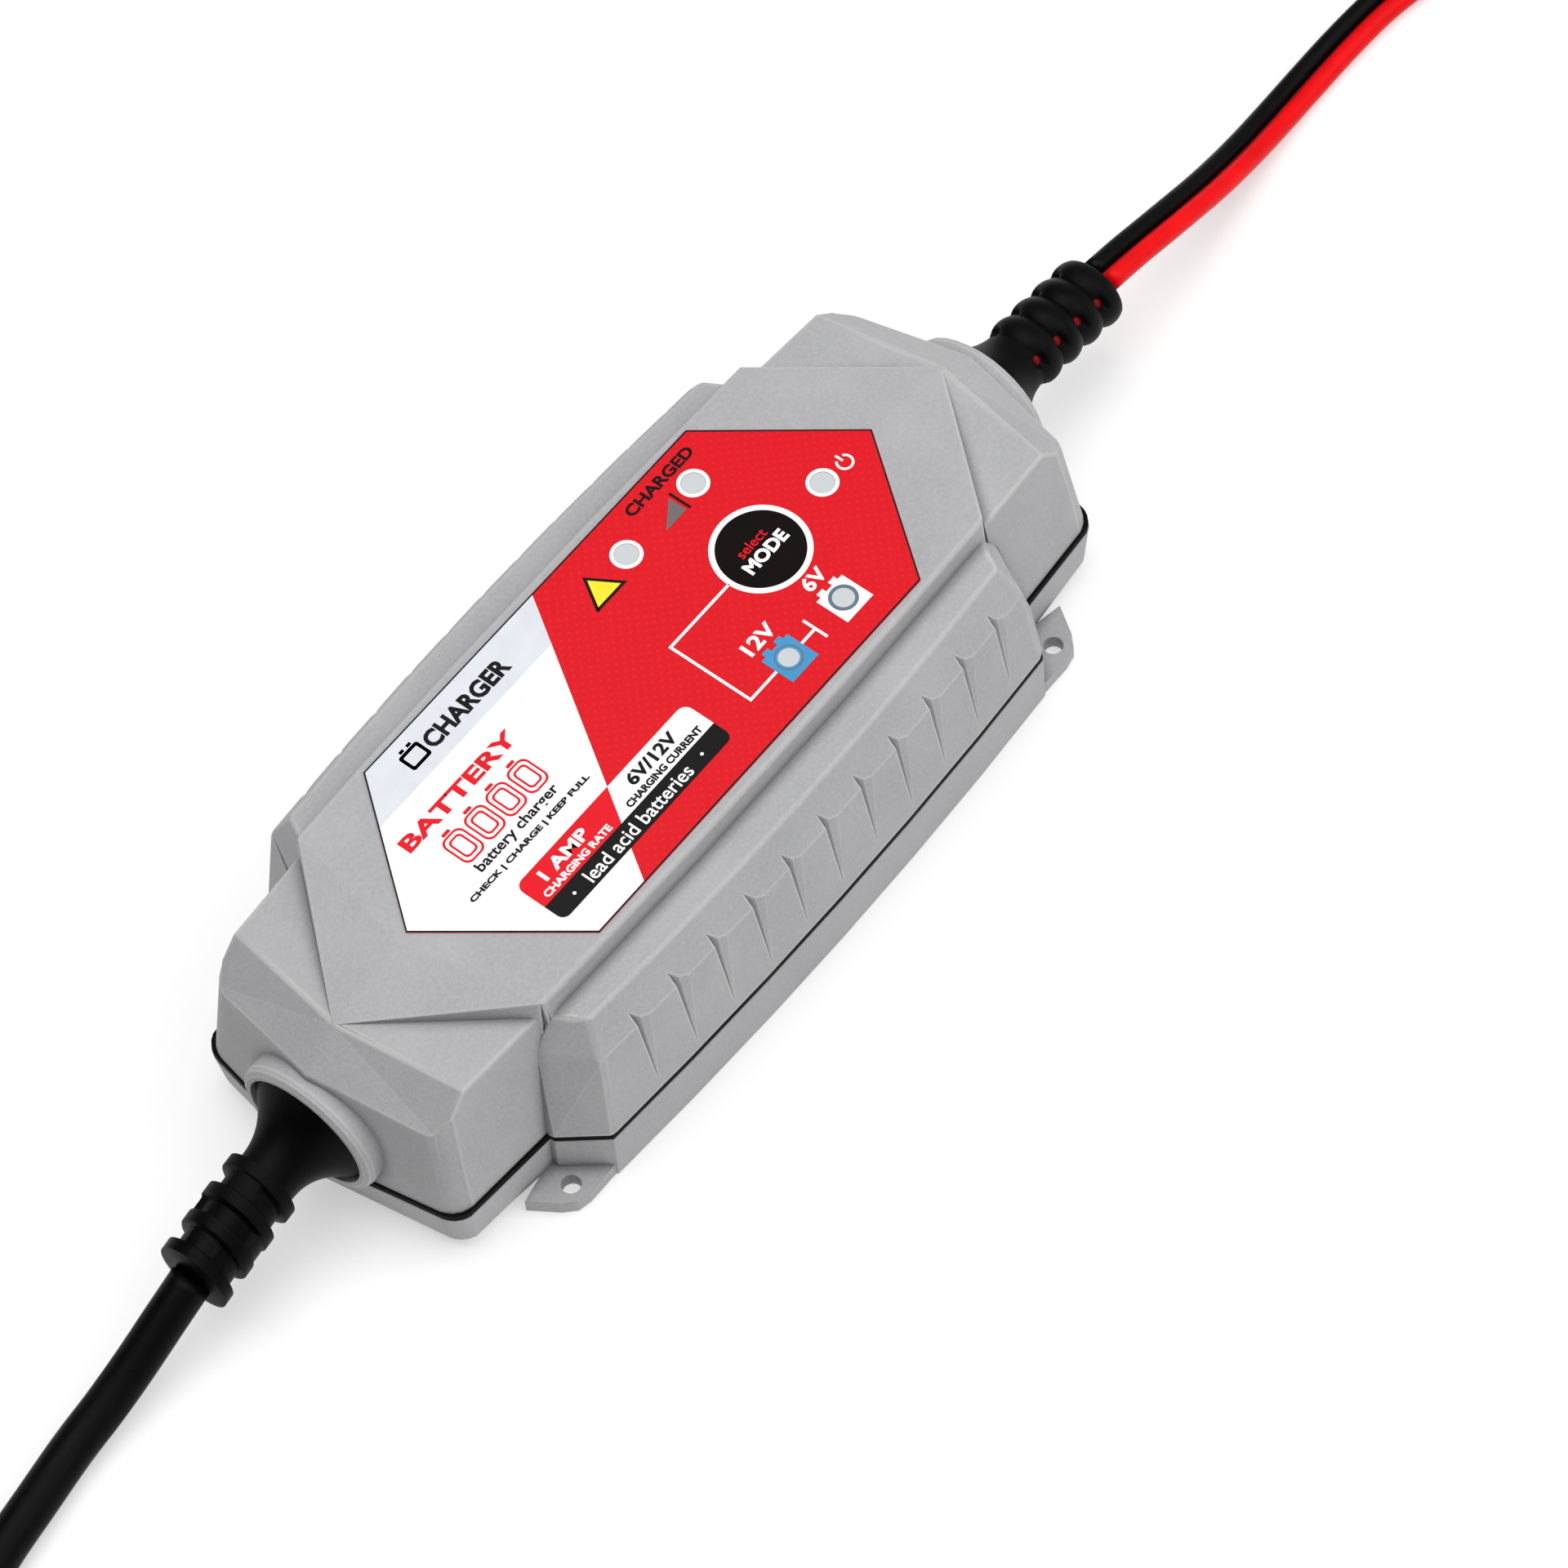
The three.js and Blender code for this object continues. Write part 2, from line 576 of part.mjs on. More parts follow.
function buildPower() {
  const deck = BOARD.z + BOARD.thick + 0.05;
  const lying = (radius, length, x, y, z, sides = 24) =>
    solid(new THREE.CylinderGeometry(radius, radius, length, sides).rotateZ(Math.PI / 2).translate(x, y, z));
  const core = block(22, 20, 17, -8, -3, deck + 8.5);
  place("transformer", join(core, block(14, 26, 13, -8, -3, deck + 8.5)), tapeYellow);
  place("mains_capacitor", lying(6.5, 20, -32, 10, deck + 6.5), sleeveBlue);
  place("output_capacitor", upright(5, deck, deck + 16, 14, 12, 24), sleeveBlue);
  place("line_choke", turnedAt([[2, 0], [6, 0], [6, 9], [2, 9], [2, 0]], -46, -4.5, deck), ferrite);
  place("line_fuse", lying(2.6, 18, -34, -17.5, deck + 2.6, 16), glass);
  place("bridge_rectifier", block(9, 6.5, 3.2, -30, -5, deck + 1.6), icBlack);
  place("heat_sink", heatSink(deck), aluminium);
  place("power_transistor", block(10, 4.4, 15, 30, -7.6, deck + 8.5), icBlack);
}

function turnedAt(profile, x, y, z) {
  return turned(profile, 24).translate([x, y, z]);
}

function heatSink(deck) {
  const fins = [];
  for (let k = 0; k < 4; k++) fins.push(block(1.4, 5, 18, 21 + 6 * k, -13.5, deck + 9));
  return join(block(22, 1.6, 18, 30, -10.8, deck + 9), ...fins);
}

// ---------------------------------------------------------------- fasteners and plate
function buildFasteners() {
  CASE_SCREWS.forEach(([x, y], k) => {
    const head = upright(2.6, 0.8, 2.9, x, y, 16);
    const shank = upright(1.4, 2, 20, x, y, 12);
    place(`case_screw_${k + 1}`, join(head, shank), steel);
  });
}

// ---------------------------------------------------------------- boots
// A boot along its own +Z: a flange and neck inside the collar, a flared trumpet and a ringed tail.
// The tail is then bent down to meet the lead's first direction.
function boot(side, exit, tail) {
  const start = PORT.x - 5.4;
  const profile = [
    [0, -12],
    [5.4, -12],
    [5.4, 0],
    [PORT.mouth - CLEAR, 0],
    [PORT.mouth - CLEAR, 4.6],
    [8.4, 6.8],
    [6.9, 9.6],
    ...tail,
  ];
  const length = Math.abs(exit[0]) - start;
  const end = profile[profile.length - 1][1];
  const stretch = (z) => (z <= 9.6 ? z : 9.6 + ((z - 9.6) * (length - 9.6)) / (end - 9.6));
  const drop = PORT.z - exit[2];
  const outline = profile.map(([r, z]) => new THREE.Vector2(r, stretch(z)));
  outline.push(new THREE.Vector2(0, length));
  const geometry = new THREE.LatheGeometry(outline, 24).rotateX(Math.PI / 2);
  const places = geometry.getAttribute("position");
  for (let k = 0; k < places.count; k++) {
    const along = places.getZ(k);
    const t = Math.max(0, (along - 4.6) / (length - 4.6));
    const sag = drop * t * t * (1.6 - 0.6 * t);
    const [across, up] = [places.getX(k), places.getY(k)];
    places.setXYZ(k, side * (start + along), side * across, PORT.z + up - sag);
  }
  return solid(geometry);
}

// Four rings with waists between them, as [radius, distance] pairs.
function ringedTail(ring, waist, first, pitch, width) {
  const points = [];
  for (let k = 0; k < 4; k++) {
    const z = first + k * pitch;
    points.push([waist, z], [ring, z + 0.4], [ring, z + width], [waist, z + width + 0.4]);
  }
  return points;
}

// ---------------------------------------------------------------- leads
const MAINS_ROUTE = [
  [-106, 0, 14.1],
  MAINS_EXIT,
  [-116, 0, 10.4],
  [-124, 0, 7.1],
  [-131, 0, 4.9],
  [-138, -0.2, 3.8],
  [-148, -1.5, 3.5],
  [-158, -3, 3.45],
  [-168, -5.5, 3.45],
  [-180, -12.5, 3.45],
  [-190, -21, 3.45],
  [-201, -30.5, 3.45],
  [-212, -36.6, 3.45],
  [-224, -38.2, 3.45],
];

const WIRE_ROUTE = [
  [110, 0, 17.2],
  WIRE_EXIT,
  [120, 0, 15.1],
  [130, 0, 12.4],
  [142, 0.4, 8.6],
  [153, 1.4, 5],
  [163, 2.4, 2.6],
  [173, 2.9, 1.75],
  [184, 2.9, 1.75],
  [194, 2.3, 1.75],
  [204, 0.2, 1.75],
  [214, -4.9, 1.75],
  [225, -10.9, 1.75],
  [238, -13.5, 1.75],
];

// The closed outer shape of a coil: its bundle of lanes and layers turned about the coil's centre.
function coilRing({ x, y, lanes, layers }, diameter, middle) {
  const [halfWidth, height] = [(lanes * diameter) / 2, layers * diameter];
  const soft = diameter * 0.28;
  const profile = [
    [middle - halfWidth + soft, 0.05],
    [middle + halfWidth - soft, 0.05],
    [middle + halfWidth, soft],
    [middle + halfWidth, height - soft],
    [middle + halfWidth - soft, height],
    [middle - halfWidth + soft, height],
    [middle - halfWidth, height - soft],
    [middle - halfWidth, soft],
    [middle - halfWidth + soft, 0.05],
  ];
  return turned(profile, 40).translate([x, y, 0]);
}

const MAINS_MIDDLE = 5.5 * MAINS_D; // radius of the coil at the middle of its turns
const WIRE_MIDDLE = 6 * WIRE_D;

// The mains lead's last stretch, on top of its coil, which leads into the back of the plug.
function mainsTail() {
  const points = [];
  const { x, y } = MAINS_COIL;
  const steps = 9;
  for (let k = 0; k <= steps; k++) {
    const turn = (-0.5 + (1.02 * (steps - k)) / steps) * Math.PI;
    const rise = 17.3 + 3.3 * (k / steps) ** 2;
    points.push([x + MAINS_MIDDLE * Math.cos(turn), y + MAINS_MIDDLE * Math.sin(turn), rise]);
  }
  points.push([PLUG.x + CLEAR, PLUG.y, PLUG.z]);
  return points;
}

const PLUG = { x: MAINS_COIL.x - 5, y: MAINS_COIL.y - MAINS_MIDDLE, z: 20.6 };
const CLIP_LOW = 14.1; // underside of both battery clips, which lie on the coil
const CLIP_HEIGHT = 10;
const RED_CLIP = { x: 246, y: WIRE_COIL.y - WIRE_MIDDLE, turn: 0 };
const BLACK_CLIP = { x: 230, y: WIRE_COIL.y + WIRE_MIDDLE, turn: Math.PI };

// A core of the battery lead from the top of its coil to the handle of its clip, as steps from the
// coil's middle at the red side; the black side is the same turned by half a turn.
const WIRE_TAIL = [
  [-23.6, 9, 12.2],
  [-24.6, 4.5, 14],
  [-25.3, 0, 15.3],
  [-26, -5.5, 16.3],
  [-26.6, -11, 17.3],
  [-26.6, -17, 18.2],
  [-25.4, -22.4, 18.8],
  [-23, -26.6, 19.1],
  [-19.6, -27.6, 19.1],
];

function wireTail({ turn }) {
  const ahead = turn === 0 ? 1 : -1;
  return WIRE_TAIL.map(([x, y, z]) => [WIRE_COIL.x + ahead * x, WIRE_COIL.y + ahead * y, z]);
}

// ---------------------------------------------------------------- mains plug
function buildPlug() {
  const group = new THREE.Group();
  group.position.set(PLUG.x, PLUG.y, PLUG.z);
  charger.add(group);
  const outline = [
    [0, -5],
    [0, 5],
    [-8, 8],
    [-22, 13],
    [-33, 13],
    [-35.5, 11],
    [-35.5, -11],
    [-33, -13],
    [-22, -13],
    [-8, -8],
  ];
  place("plug_body", plate(outline, -6.8, 6.9), rubberBlack, group);
  for (const [k, y] of [-9.4, 9.4].entries()) {
    const pin = new THREE.CylinderGeometry(2, 2, 17, 16).rotateZ(Math.PI / 2);
    const tip = new THREE.CylinderGeometry(2, 1, 2, 16).rotateZ(Math.PI / 2);
    const whole = join(solid(pin.translate(-35.8 - 8.5, y, 0)), solid(tip.translate(-53.8, y, 0)));
    place(`plug_pin_${k + 1}`, whole, brass, group);
  }
}

// ---------------------------------------------------------------- battery clips
// One lever of a clip lying on its side: handle, pivot lugs and jaw. bend is +1 for the moving
// lever and -1 for the fixed one; x runs from the handle to the jaw's tip, the pivot is at 0.
const CLIP = { handle: -27, jaw: 27, lug: 4, pin: 1.4 };
function clipLever(bend, lugHeights) {
  const outline = [
    [CLIP.handle, 9.2 * bend],
    [CLIP.handle, 5.4 * bend],
    [-14, 4.8 * bend],
    [-5, 4.7 * bend],
    [6, 4.7 * bend],
    [14, 3.8 * bend],
    [CLIP.jaw - 1, 0.35 * bend],
    [CLIP.jaw, 0.35 * bend],
    [CLIP.jaw, 3 * bend],
    [15, 7.4 * bend],
    [4, 7.8 * bend],
    [-14, 8.6 * bend],
  ];
  const lever = plate(outline, 0, CLIP_HEIGHT);
  const lugs = lugHeights.map(([low, high]) =>
    join(upright(CLIP.lug, low, high, 0, 0, 20), plate(lugArm(bend), low, high)),
  );
  return cut(join(lever, ...lugs), upright(CLIP.pin + 0.15, -1, CLIP_HEIGHT + 1, 0, 0, 20));
}

const lugArm = (bend) => [
  [-3.4, 0],
  [3.4, 0],
  [3.4, 5.5 * bend],
  [-3.4, 5.5 * bend],
];

function buildClip(name, { x, y, turn }, colour) {
  const group = new THREE.Group();
  group.position.set(x, y, CLIP_LOW);
  group.rotation.z = turn;
  charger.add(group);
  const fixedLugs = [
    [0, 1.9],
    [8.1, 10],
  ];
  const movingLugs = [
    [2.2, 3.9],
    [6.1, 7.8],
  ];
  place(`${name}_clip_fixed_jaw`, clipLever(-1, fixedLugs), colour, group);
  place(`${name}_clip_moving_jaw`, clipLever(1, movingLugs), colour, group);
  place(`${name}_clip_pin`, upright(CLIP.pin, 0.1, 9.9, 0, 0, 20), steel, group);
  const spring = [
    [1.75, 4.2],
    [3.2, 4.2],
    [3.2, 5.8],
    [1.75, 5.8],
    [1.75, 4.2],
  ];
  place(`${name}_clip_spring`, turned(spring, 20), steel, group);
}

// The space of a boot up to its end, for cutting the lead that starts inside it.
function bootSide([x, y, z]) {
  const ahead = Math.sign(x);
  return block(20, 40, 40, x + ahead * (CLEAR - 10), y, z);
}

function buildLeads() {
  const mainsTailRings = ringedTail(6.4, 5.3, 11.5, 4.6, 2.2);
  place("mains_boot", boot(-1, MAINS_EXIT, mainsTailRings), rubberBlack);
  const wireTailRings = ringedTail(6.6, 5.6, 12, 5.2, 3.4);
  place("battery_boot", boot(1, WIRE_EXIT, wireTailRings), rubberBlack);

  const mainsCoil = coilRing(MAINS_COIL, MAINS_D, MAINS_MIDDLE);
  const mainsRoom = coilRing(MAINS_COIL, MAINS_D + 0.2, MAINS_MIDDLE);
  const mainsLead = cord(MAINS_ROUTE, MAINS_D, 10, 24);
  place("mains_lead", cut(mainsLead, mainsRoom, bootSide(MAINS_EXIT)), rubberBlack);
  place("mains_coil", mainsCoil, rubberBlack);
  place("mains_lead_tail", cord(mainsTail(), MAINS_D, 10, 18), rubberBlack);
  buildPlug();

  const wireCoil = coilRing(WIRE_COIL, WIRE_D, WIRE_MIDDLE);
  const wireRoom = coilRing(WIRE_COIL, WIRE_D + 0.25, WIRE_MIDDLE);
  for (const [colour, shift, paint] of [
    ["black", 0.53 * WIRE_D, rubberBlack],
    ["red", -0.53 * WIRE_D, wireRed],
  ]) {
    const core = cord(offsetRoute(WIRE_ROUTE, shift), WIRE_D, 8, 22);
    place(`battery_lead_${colour}`, cut(core, wireRoom, bootSide(WIRE_EXIT)), paint);
  }
  place("battery_coil", wireCoil, rubberBlack);
  for (const [colour, clip, paint] of [
    ["red", RED_CLIP, wireRed],
    ["black", BLACK_CLIP, rubberBlack],
  ]) {
    const tail = cut(cord(wireTail(clip), WIRE_D, 8, 14), wireRoom);
    place(`battery_lead_tail_${colour}`, tail, paint);
  }
  buildClip("red", RED_CLIP, wireRed);
  buildClip("black", BLACK_CLIP, rubberBlack);
}

// The route moved sideways in plan, to +y for a positive shift on a stretch that runs along +x.
function offsetRoute(route, shift) {
  return route.map(([x, y, z], k) => {
    const before = route[Math.max(0, k - 1)];
    const after = route[Math.min(route.length - 1, k + 1)];
    const [dx, dy] = [after[0] - before[0], after[1] - before[1]];
    const length = Math.hypot(dx, dy);
    return [x - (shift * dy) / length, y + (shift * dx) / length, z];
  });
}

// ---------------------------------------------------------------- assembly
place("top_cover", topCover(), shellGrey);
place("base_shell", baseShell(), shellGrey);
place("seam_seal_left", seamSeal(1), sealBlack);
place("seam_seal_right", seamSeal(-1), sealBlack);
buildPanel();
buildBoards();
buildPower();
buildFasteners();
buildLeads();

export default charger;
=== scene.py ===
"""Looks of a sealed car battery charger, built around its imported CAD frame.

Metres, +X along the case towards the battery lead, +Z up, origin under the middle of the case.
"""

import json
import math

import bmesh
import bpy
from mathutils import Matrix, Vector


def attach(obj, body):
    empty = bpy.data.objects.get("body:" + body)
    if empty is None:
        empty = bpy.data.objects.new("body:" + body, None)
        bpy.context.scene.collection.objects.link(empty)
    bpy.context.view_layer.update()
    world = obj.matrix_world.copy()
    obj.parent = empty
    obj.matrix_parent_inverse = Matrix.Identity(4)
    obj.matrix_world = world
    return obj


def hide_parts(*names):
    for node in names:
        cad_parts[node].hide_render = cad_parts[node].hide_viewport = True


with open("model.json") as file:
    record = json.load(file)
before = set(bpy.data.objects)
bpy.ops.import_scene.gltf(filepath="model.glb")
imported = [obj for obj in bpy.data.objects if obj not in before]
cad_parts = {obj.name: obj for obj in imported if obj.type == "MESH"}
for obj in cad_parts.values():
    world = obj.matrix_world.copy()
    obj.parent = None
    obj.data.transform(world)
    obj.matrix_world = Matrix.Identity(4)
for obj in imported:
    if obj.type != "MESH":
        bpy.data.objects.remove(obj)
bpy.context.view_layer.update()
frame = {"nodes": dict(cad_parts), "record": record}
NODES = frame["nodes"]
MM = 0.001

# ---------------- shared dimensions, in mm
PANEL_Z = 41.2
PORT_Z = 19.1
SEAM_TOP = 11.9  # the CAD cover's lower edge
SEAM_LIFT = 0.35  # how far that edge is drawn higher along the long walls
SEAM_DROP = 0.4  # how far it is drawn lower at both ends
BUTTON_X = 28.3
LAMPS = {
    "fault": (15.3, 15.9),
    "charged": (31.5, 15.9),
    "power": (43.4, 0.0),
    "six_volt": (28.9, -15.6),
    "twelve_volt": (15.6, -15.6),
}
MAINS_D, MAINS_LOW = 6.8, 3.45  # diameter, and height of the middle where it lies on the floor
WIRE_D, WIRE_LOW = 3.4, 1.75


# ---------------- camera
def add_object(name, data):
    """A new object of the scene that shows this mesh, text, camera or lamp."""
    thing = bpy.data.objects.new(name, data)
    bpy.context.scene.collection.objects.link(thing)
    return thing


def make_camera():
    """The photo's view: turned left of the lead axis, looking steeply down, and slightly rolled."""
    azimuth, elevation, roll = (math.radians(a) for a in (-45.86, 58.78, -6.41))
    view = Vector((
        -math.sin(azimuth) * math.cos(elevation),
        math.cos(azimuth) * math.cos(elevation),
        -math.sin(elevation),
    ))
    level = view.cross(Vector((0, 0, 1))).normalized()
    upright = level.cross(view)
    right = math.cos(roll) * level + math.sin(roll) * upright
    up = -math.sin(roll) * level + math.cos(roll) * upright
    camera = add_object("Camera", bpy.data.cameras.new("Camera"))
    turn = Matrix((right, up, -view)).transposed().to_4x4()
    camera.matrix_world = Matrix.Translation(Vector((-370.6, -386.4, 888.1)) * MM) @ turn
    camera.data.lens = 152.54
    camera.data.sensor_width = 36
    camera.data.clip_end = 20
    bpy.context.scene.camera = camera


make_camera()


# ---------------- leads
MAINS_ROUTE = [
    (-109.5, 0, 13),
    (-116, 0, 10.4),
    (-124, 0, 7.1),
    (-131, 0, 4.9),
    (-138, -0.2, 3.8),
    (-148, -1.5, 3.5),
    (-158, -3, MAINS_LOW),
    (-168, -5.5, MAINS_LOW),
    (-180, -12.5, MAINS_LOW),
    (-190, -21, MAINS_LOW),
    (-201, -30.5, MAINS_LOW),
    (-212, -36.6, MAINS_LOW),
]
WIRE_ROUTE = [
    (113, 0, 16.6),
    (120, 0, 15.1),
    (130, 0, 12.4),
    (142, 0.4, 8.6),
    (153, 1.4, 5),
    (163, 2.4, 2.6),
    (173, 2.9, WIRE_LOW),
    (184, 2.9, WIRE_LOW),
    (194, 2.3, WIRE_LOW),
    (204, 0.2, WIRE_LOW),
    (214, -4.9, WIRE_LOW),
    (225, -10.9, WIRE_LOW),
]
WIRE_TAIL = [
    (-26, -5.5, 16.3),
    (-26.6, -11, 17.3),
    (-26.6, -17, 18.2),
    (-25.4, -22.4, 18.8),
    (-23, -26.6, 19.1),
    (-19.6, -27.6, 19.1),
]
MAINS_COIL, MAINS_MIDDLE = (-224, 6), 5.5 * MAINS_D  # a coil's centre, and its mean radius
WIRE_COIL, WIRE_MIDDLE = (238, 12), 6 * WIRE_D
CORES_APART = 1.06 * WIRE_D
PLUG = (-229, -31.4, 20.6)


def smooth(value, low, high):
    """0 before low, 1 after high, and an even curve between."""
    t = min(1, max(0, (value - low) / (high - low)))
    return t * t * (3 - 2 * t)


def steps_between(turn, keys):
    """The value at this turn from (turn of change, value after it, half width of the change)."""
    value = keys[0][1]
    for where, after, half in keys[1:]:
        value += (after - value) * smooth(turn, where - half, where + half)
    return value


def coil_points(centre, way, radius_keys, height_keys, turns):
    """Points of a wound cord, way +1 anticlockwise from above; turns count from the -Y side."""
    points = []
    count = math.ceil(turns * 16)  # 16 steps per turn
    for k in range(count + 1):
        turn = turns * k / count
        angle = -math.pi / 2 + way * turn * 2 * math.pi
        radius = steps_between(turn, radius_keys)
        x = centre[0] + radius * math.cos(angle)
        y = centre[1] + radius * math.sin(angle)
        points.append((x, y, steps_between(turn, height_keys)))
    return points


def smooth_line(points, per_span):
    """Points of the centripetal Catmull-Rom curve through the given ones."""
    line = [Vector(p) for p in points]
    line = [2 * line[0] - line[1], *line, 2 * line[-1] - line[-2]]
    smoothed = []
    for a, b, c, d in zip(line, line[1:], line[2:], line[3:]):
        t1 = (b - a).length ** 0.5
        t2 = t1 + (c - b).length ** 0.5
        t3 = t2 + (d - c).length ** 0.5
        for k in range(per_span):
            t = t1 + (t2 - t1) * k / per_span
            ab = a * ((t1 - t) / t1) + b * (t / t1)
            bc = b * ((t2 - t) / (t2 - t1)) + c * ((t - t1) / (t2 - t1))
            cd = c * ((t3 - t) / (t3 - t2)) + d * ((t - t2) / (t3 - t2))
            abc = ab * ((t2 - t) / t2) + bc * (t / t2)
            bcd = bc * ((t3 - t) / (t3 - t1)) + cd * ((t - t1) / (t3 - t1))
            smoothed.append(abc * ((t2 - t) / (t2 - t1)) + bcd * ((t - t1) / (t2 - t1)))
    return smoothed + [line[-2]]


def new_piece(name, bm, slot, material=None, body="charger", flat=False):
    """Link the shape as a piece of the given body, in its slot's finish unless another is given."""
    mesh = bpy.data.meshes.new(name)
    bm.to_mesh(mesh)
    bm.free()
    mesh.polygons.foreach_set("use_smooth", [not flat] * len(mesh.polygons))
    piece = add_object(name, mesh)
    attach(piece, body)
    mesh.materials.append(material or MATERIALS[slot])
    return piece


def soften(piece, width, segments=2):
    """Round the sharp edges of a piece, width in mm."""
    rounding = piece.modifiers.new("rounding", "BEVEL")
    rounding.width = width * MM
    rounding.segments = segments
    rounding.limit_method = "ANGLE"
    rounding.angle_limit = math.radians(35)
    rounding.harden_normals = True


def add_block(bm, low, high, place):
    """A box between two corners in mm, in the frame that place gives."""
    low, high = Vector(low), Vector(high)
    size, middle = (high - low) * MM, (high + low) / 2 * MM
    shape = place @ Matrix.Translation(middle) @ Matrix.Diagonal((*size, 1))
    bmesh.ops.create_cube(bm, size=1, matrix=shape)


def add_disc(bm, centre, radius, length, place, sides=32):
    """A disc or short rod about the X axis of the frame that place gives, in mm."""
    shape = place @ Matrix.Translation(Vector(centre) * MM) @ Matrix.Rotation(math.pi / 2, 4, "Y")
    size = {"radius1": radius * MM, "radius2": radius * MM, "depth": length * MM}
    bmesh.ops.create_cone(bm, cap_ends=True, segments=sides, matrix=shape, **size)


def bridge(bm, loop, other):
    """Faces between two closed loops of vertices."""
    corners = zip(loop, loop[1:] + loop[:1], other[1:] + other[:1], other)
    return [bm.faces.new(quad) for quad in corners]


def loft(bm, rings):
    """Faces between rings of vertices, and over both ends."""
    for ring, following in zip(rings, rings[1:]):
        bridge(bm, ring, following)
    bm.faces.new(rings[0][::-1])
    bm.faces.new(rings[-1])


def tube(name, line, radius, slot, body="charger", sides=16):
    """A round tube along a line of points in mm, closed at both ends."""
    bm = bmesh.new()
    side = Vector((0, 0, 1)).cross(line[1] - line[0]).normalized()
    rings = []
    for k, point in enumerate(line):
        ahead = (line[min(k + 1, len(line) - 1)] - line[max(k - 1, 0)]).normalized()
        side = (side - ahead * side.dot(ahead)).normalized()
        up = ahead.cross(side)
        ring = []
        for j in range(sides):
            turn = 2 * math.pi * j / sides
            offset = side * math.cos(turn) + up * math.sin(turn)
            ring.append(bm.verts.new((point + offset * radius) * MM))
        rings.append(ring)
    loft(bm, rings)
    return new_piece(name, bm, slot, body=body)


def mains_points():
    """The mains lead's way into its coil, six turns round, and up to the plug that lies on top."""
    lane = [MAINS_MIDDLE + k * MAINS_D for k in (1, 0, -1)]
    radii = [(0, lane[0], 1), (1, lane[1], 0.17), (2, lane[2], 0.17)]
    radii += [(4, lane[1], 0.17), (5, lane[0], 0.17), (6.1, lane[1], 0.17)]
    heights = [(0, MAINS_LOW, 1), (3, 10.2, 0.15), (5.85, 17.3, 0.15)]
    coil = coil_points(MAINS_COIL, -1, radii, heights, 6.55)
    tail = []
    for k in range(3, 10):
        turn = (-0.5 + 1.02 * (9 - k) / 9) * math.pi
        rise = 17.3 + 3.3 * (k / 9) ** 2
        x = MAINS_COIL[0] + MAINS_MIDDLE * math.cos(turn)
        y = MAINS_COIL[1] + MAINS_MIDDLE * math.sin(turn)
        tail.append((x, y, rise))
    return MAINS_ROUTE + coil + tail + [(PLUG[0] + 0.3, PLUG[1], PLUG[2])]


def pair_route(red):
    """One core's way to the coil: side by side along the floor, then the black one on the red."""
    points = []
    for k, (x, y, z) in enumerate(WIRE_ROUTE):
        before = WIRE_ROUTE[max(0, k - 1)]
        after = WIRE_ROUTE[min(len(WIRE_ROUTE) - 1, k + 1)]
        left = Vector((before[1] - after[1], after[0] - before[0], 0)).normalized()
        turn = math.pi / 2 * smooth(x, 200, 232)
        shift = left * (CORES_APART / 2 * math.cos(turn) * (-1 if red else 1))
        if not red:
            shift.z = WIRE_D * math.sin(turn)
        points.append(tuple(Vector((x, y, z)) + shift))
    return points


def wire_points(red):
    """One core's way into the coil, round it, and out to its clip."""
    lanes = [WIRE_MIDDLE + k * WIRE_D for k in (1.5, 0.5, -0.5, -1.5)]
    radii = [(0, lanes[0], 1)]
    for turn, lane in ((1, 1), (2, 2), (3, 3), (5, 2), (6, 1), (7, 0)):
        radii.append((turn, lanes[lane], 0.07))
    low = WIRE_LOW if red else WIRE_LOW + WIRE_D
    heights = [(0, low, 1), (4.25, low + 2 * WIRE_D, 0.12)]
    if red:
        heights.append((7.5, low + 3 * WIRE_D, 0.1))
    coil = coil_points(WIRE_COIL, 1, radii, heights, 7.7 if red else 7.2)
    ahead = 1 if red else -1
    tail = [(WIRE_COIL[0] + ahead * x, WIRE_COIL[1] + ahead * y, z) for x, y, z in WIRE_TAIL]
    return pair_route(red) + coil + tail


# ---------------- materials
def new_material(name, colour, roughness, metallic=0.0):
    """A material with even settings, which a Graph can vary."""
    material = bpy.data.materials.new(name)
    material.use_nodes = True
    shader = material.node_tree.nodes["Principled BSDF"]
    shader.inputs["Base Color"].default_value = (*colour, 1)
    shader.inputs["Roughness"].default_value = roughness
    shader.inputs["Metallic"].default_value = metallic
    return material


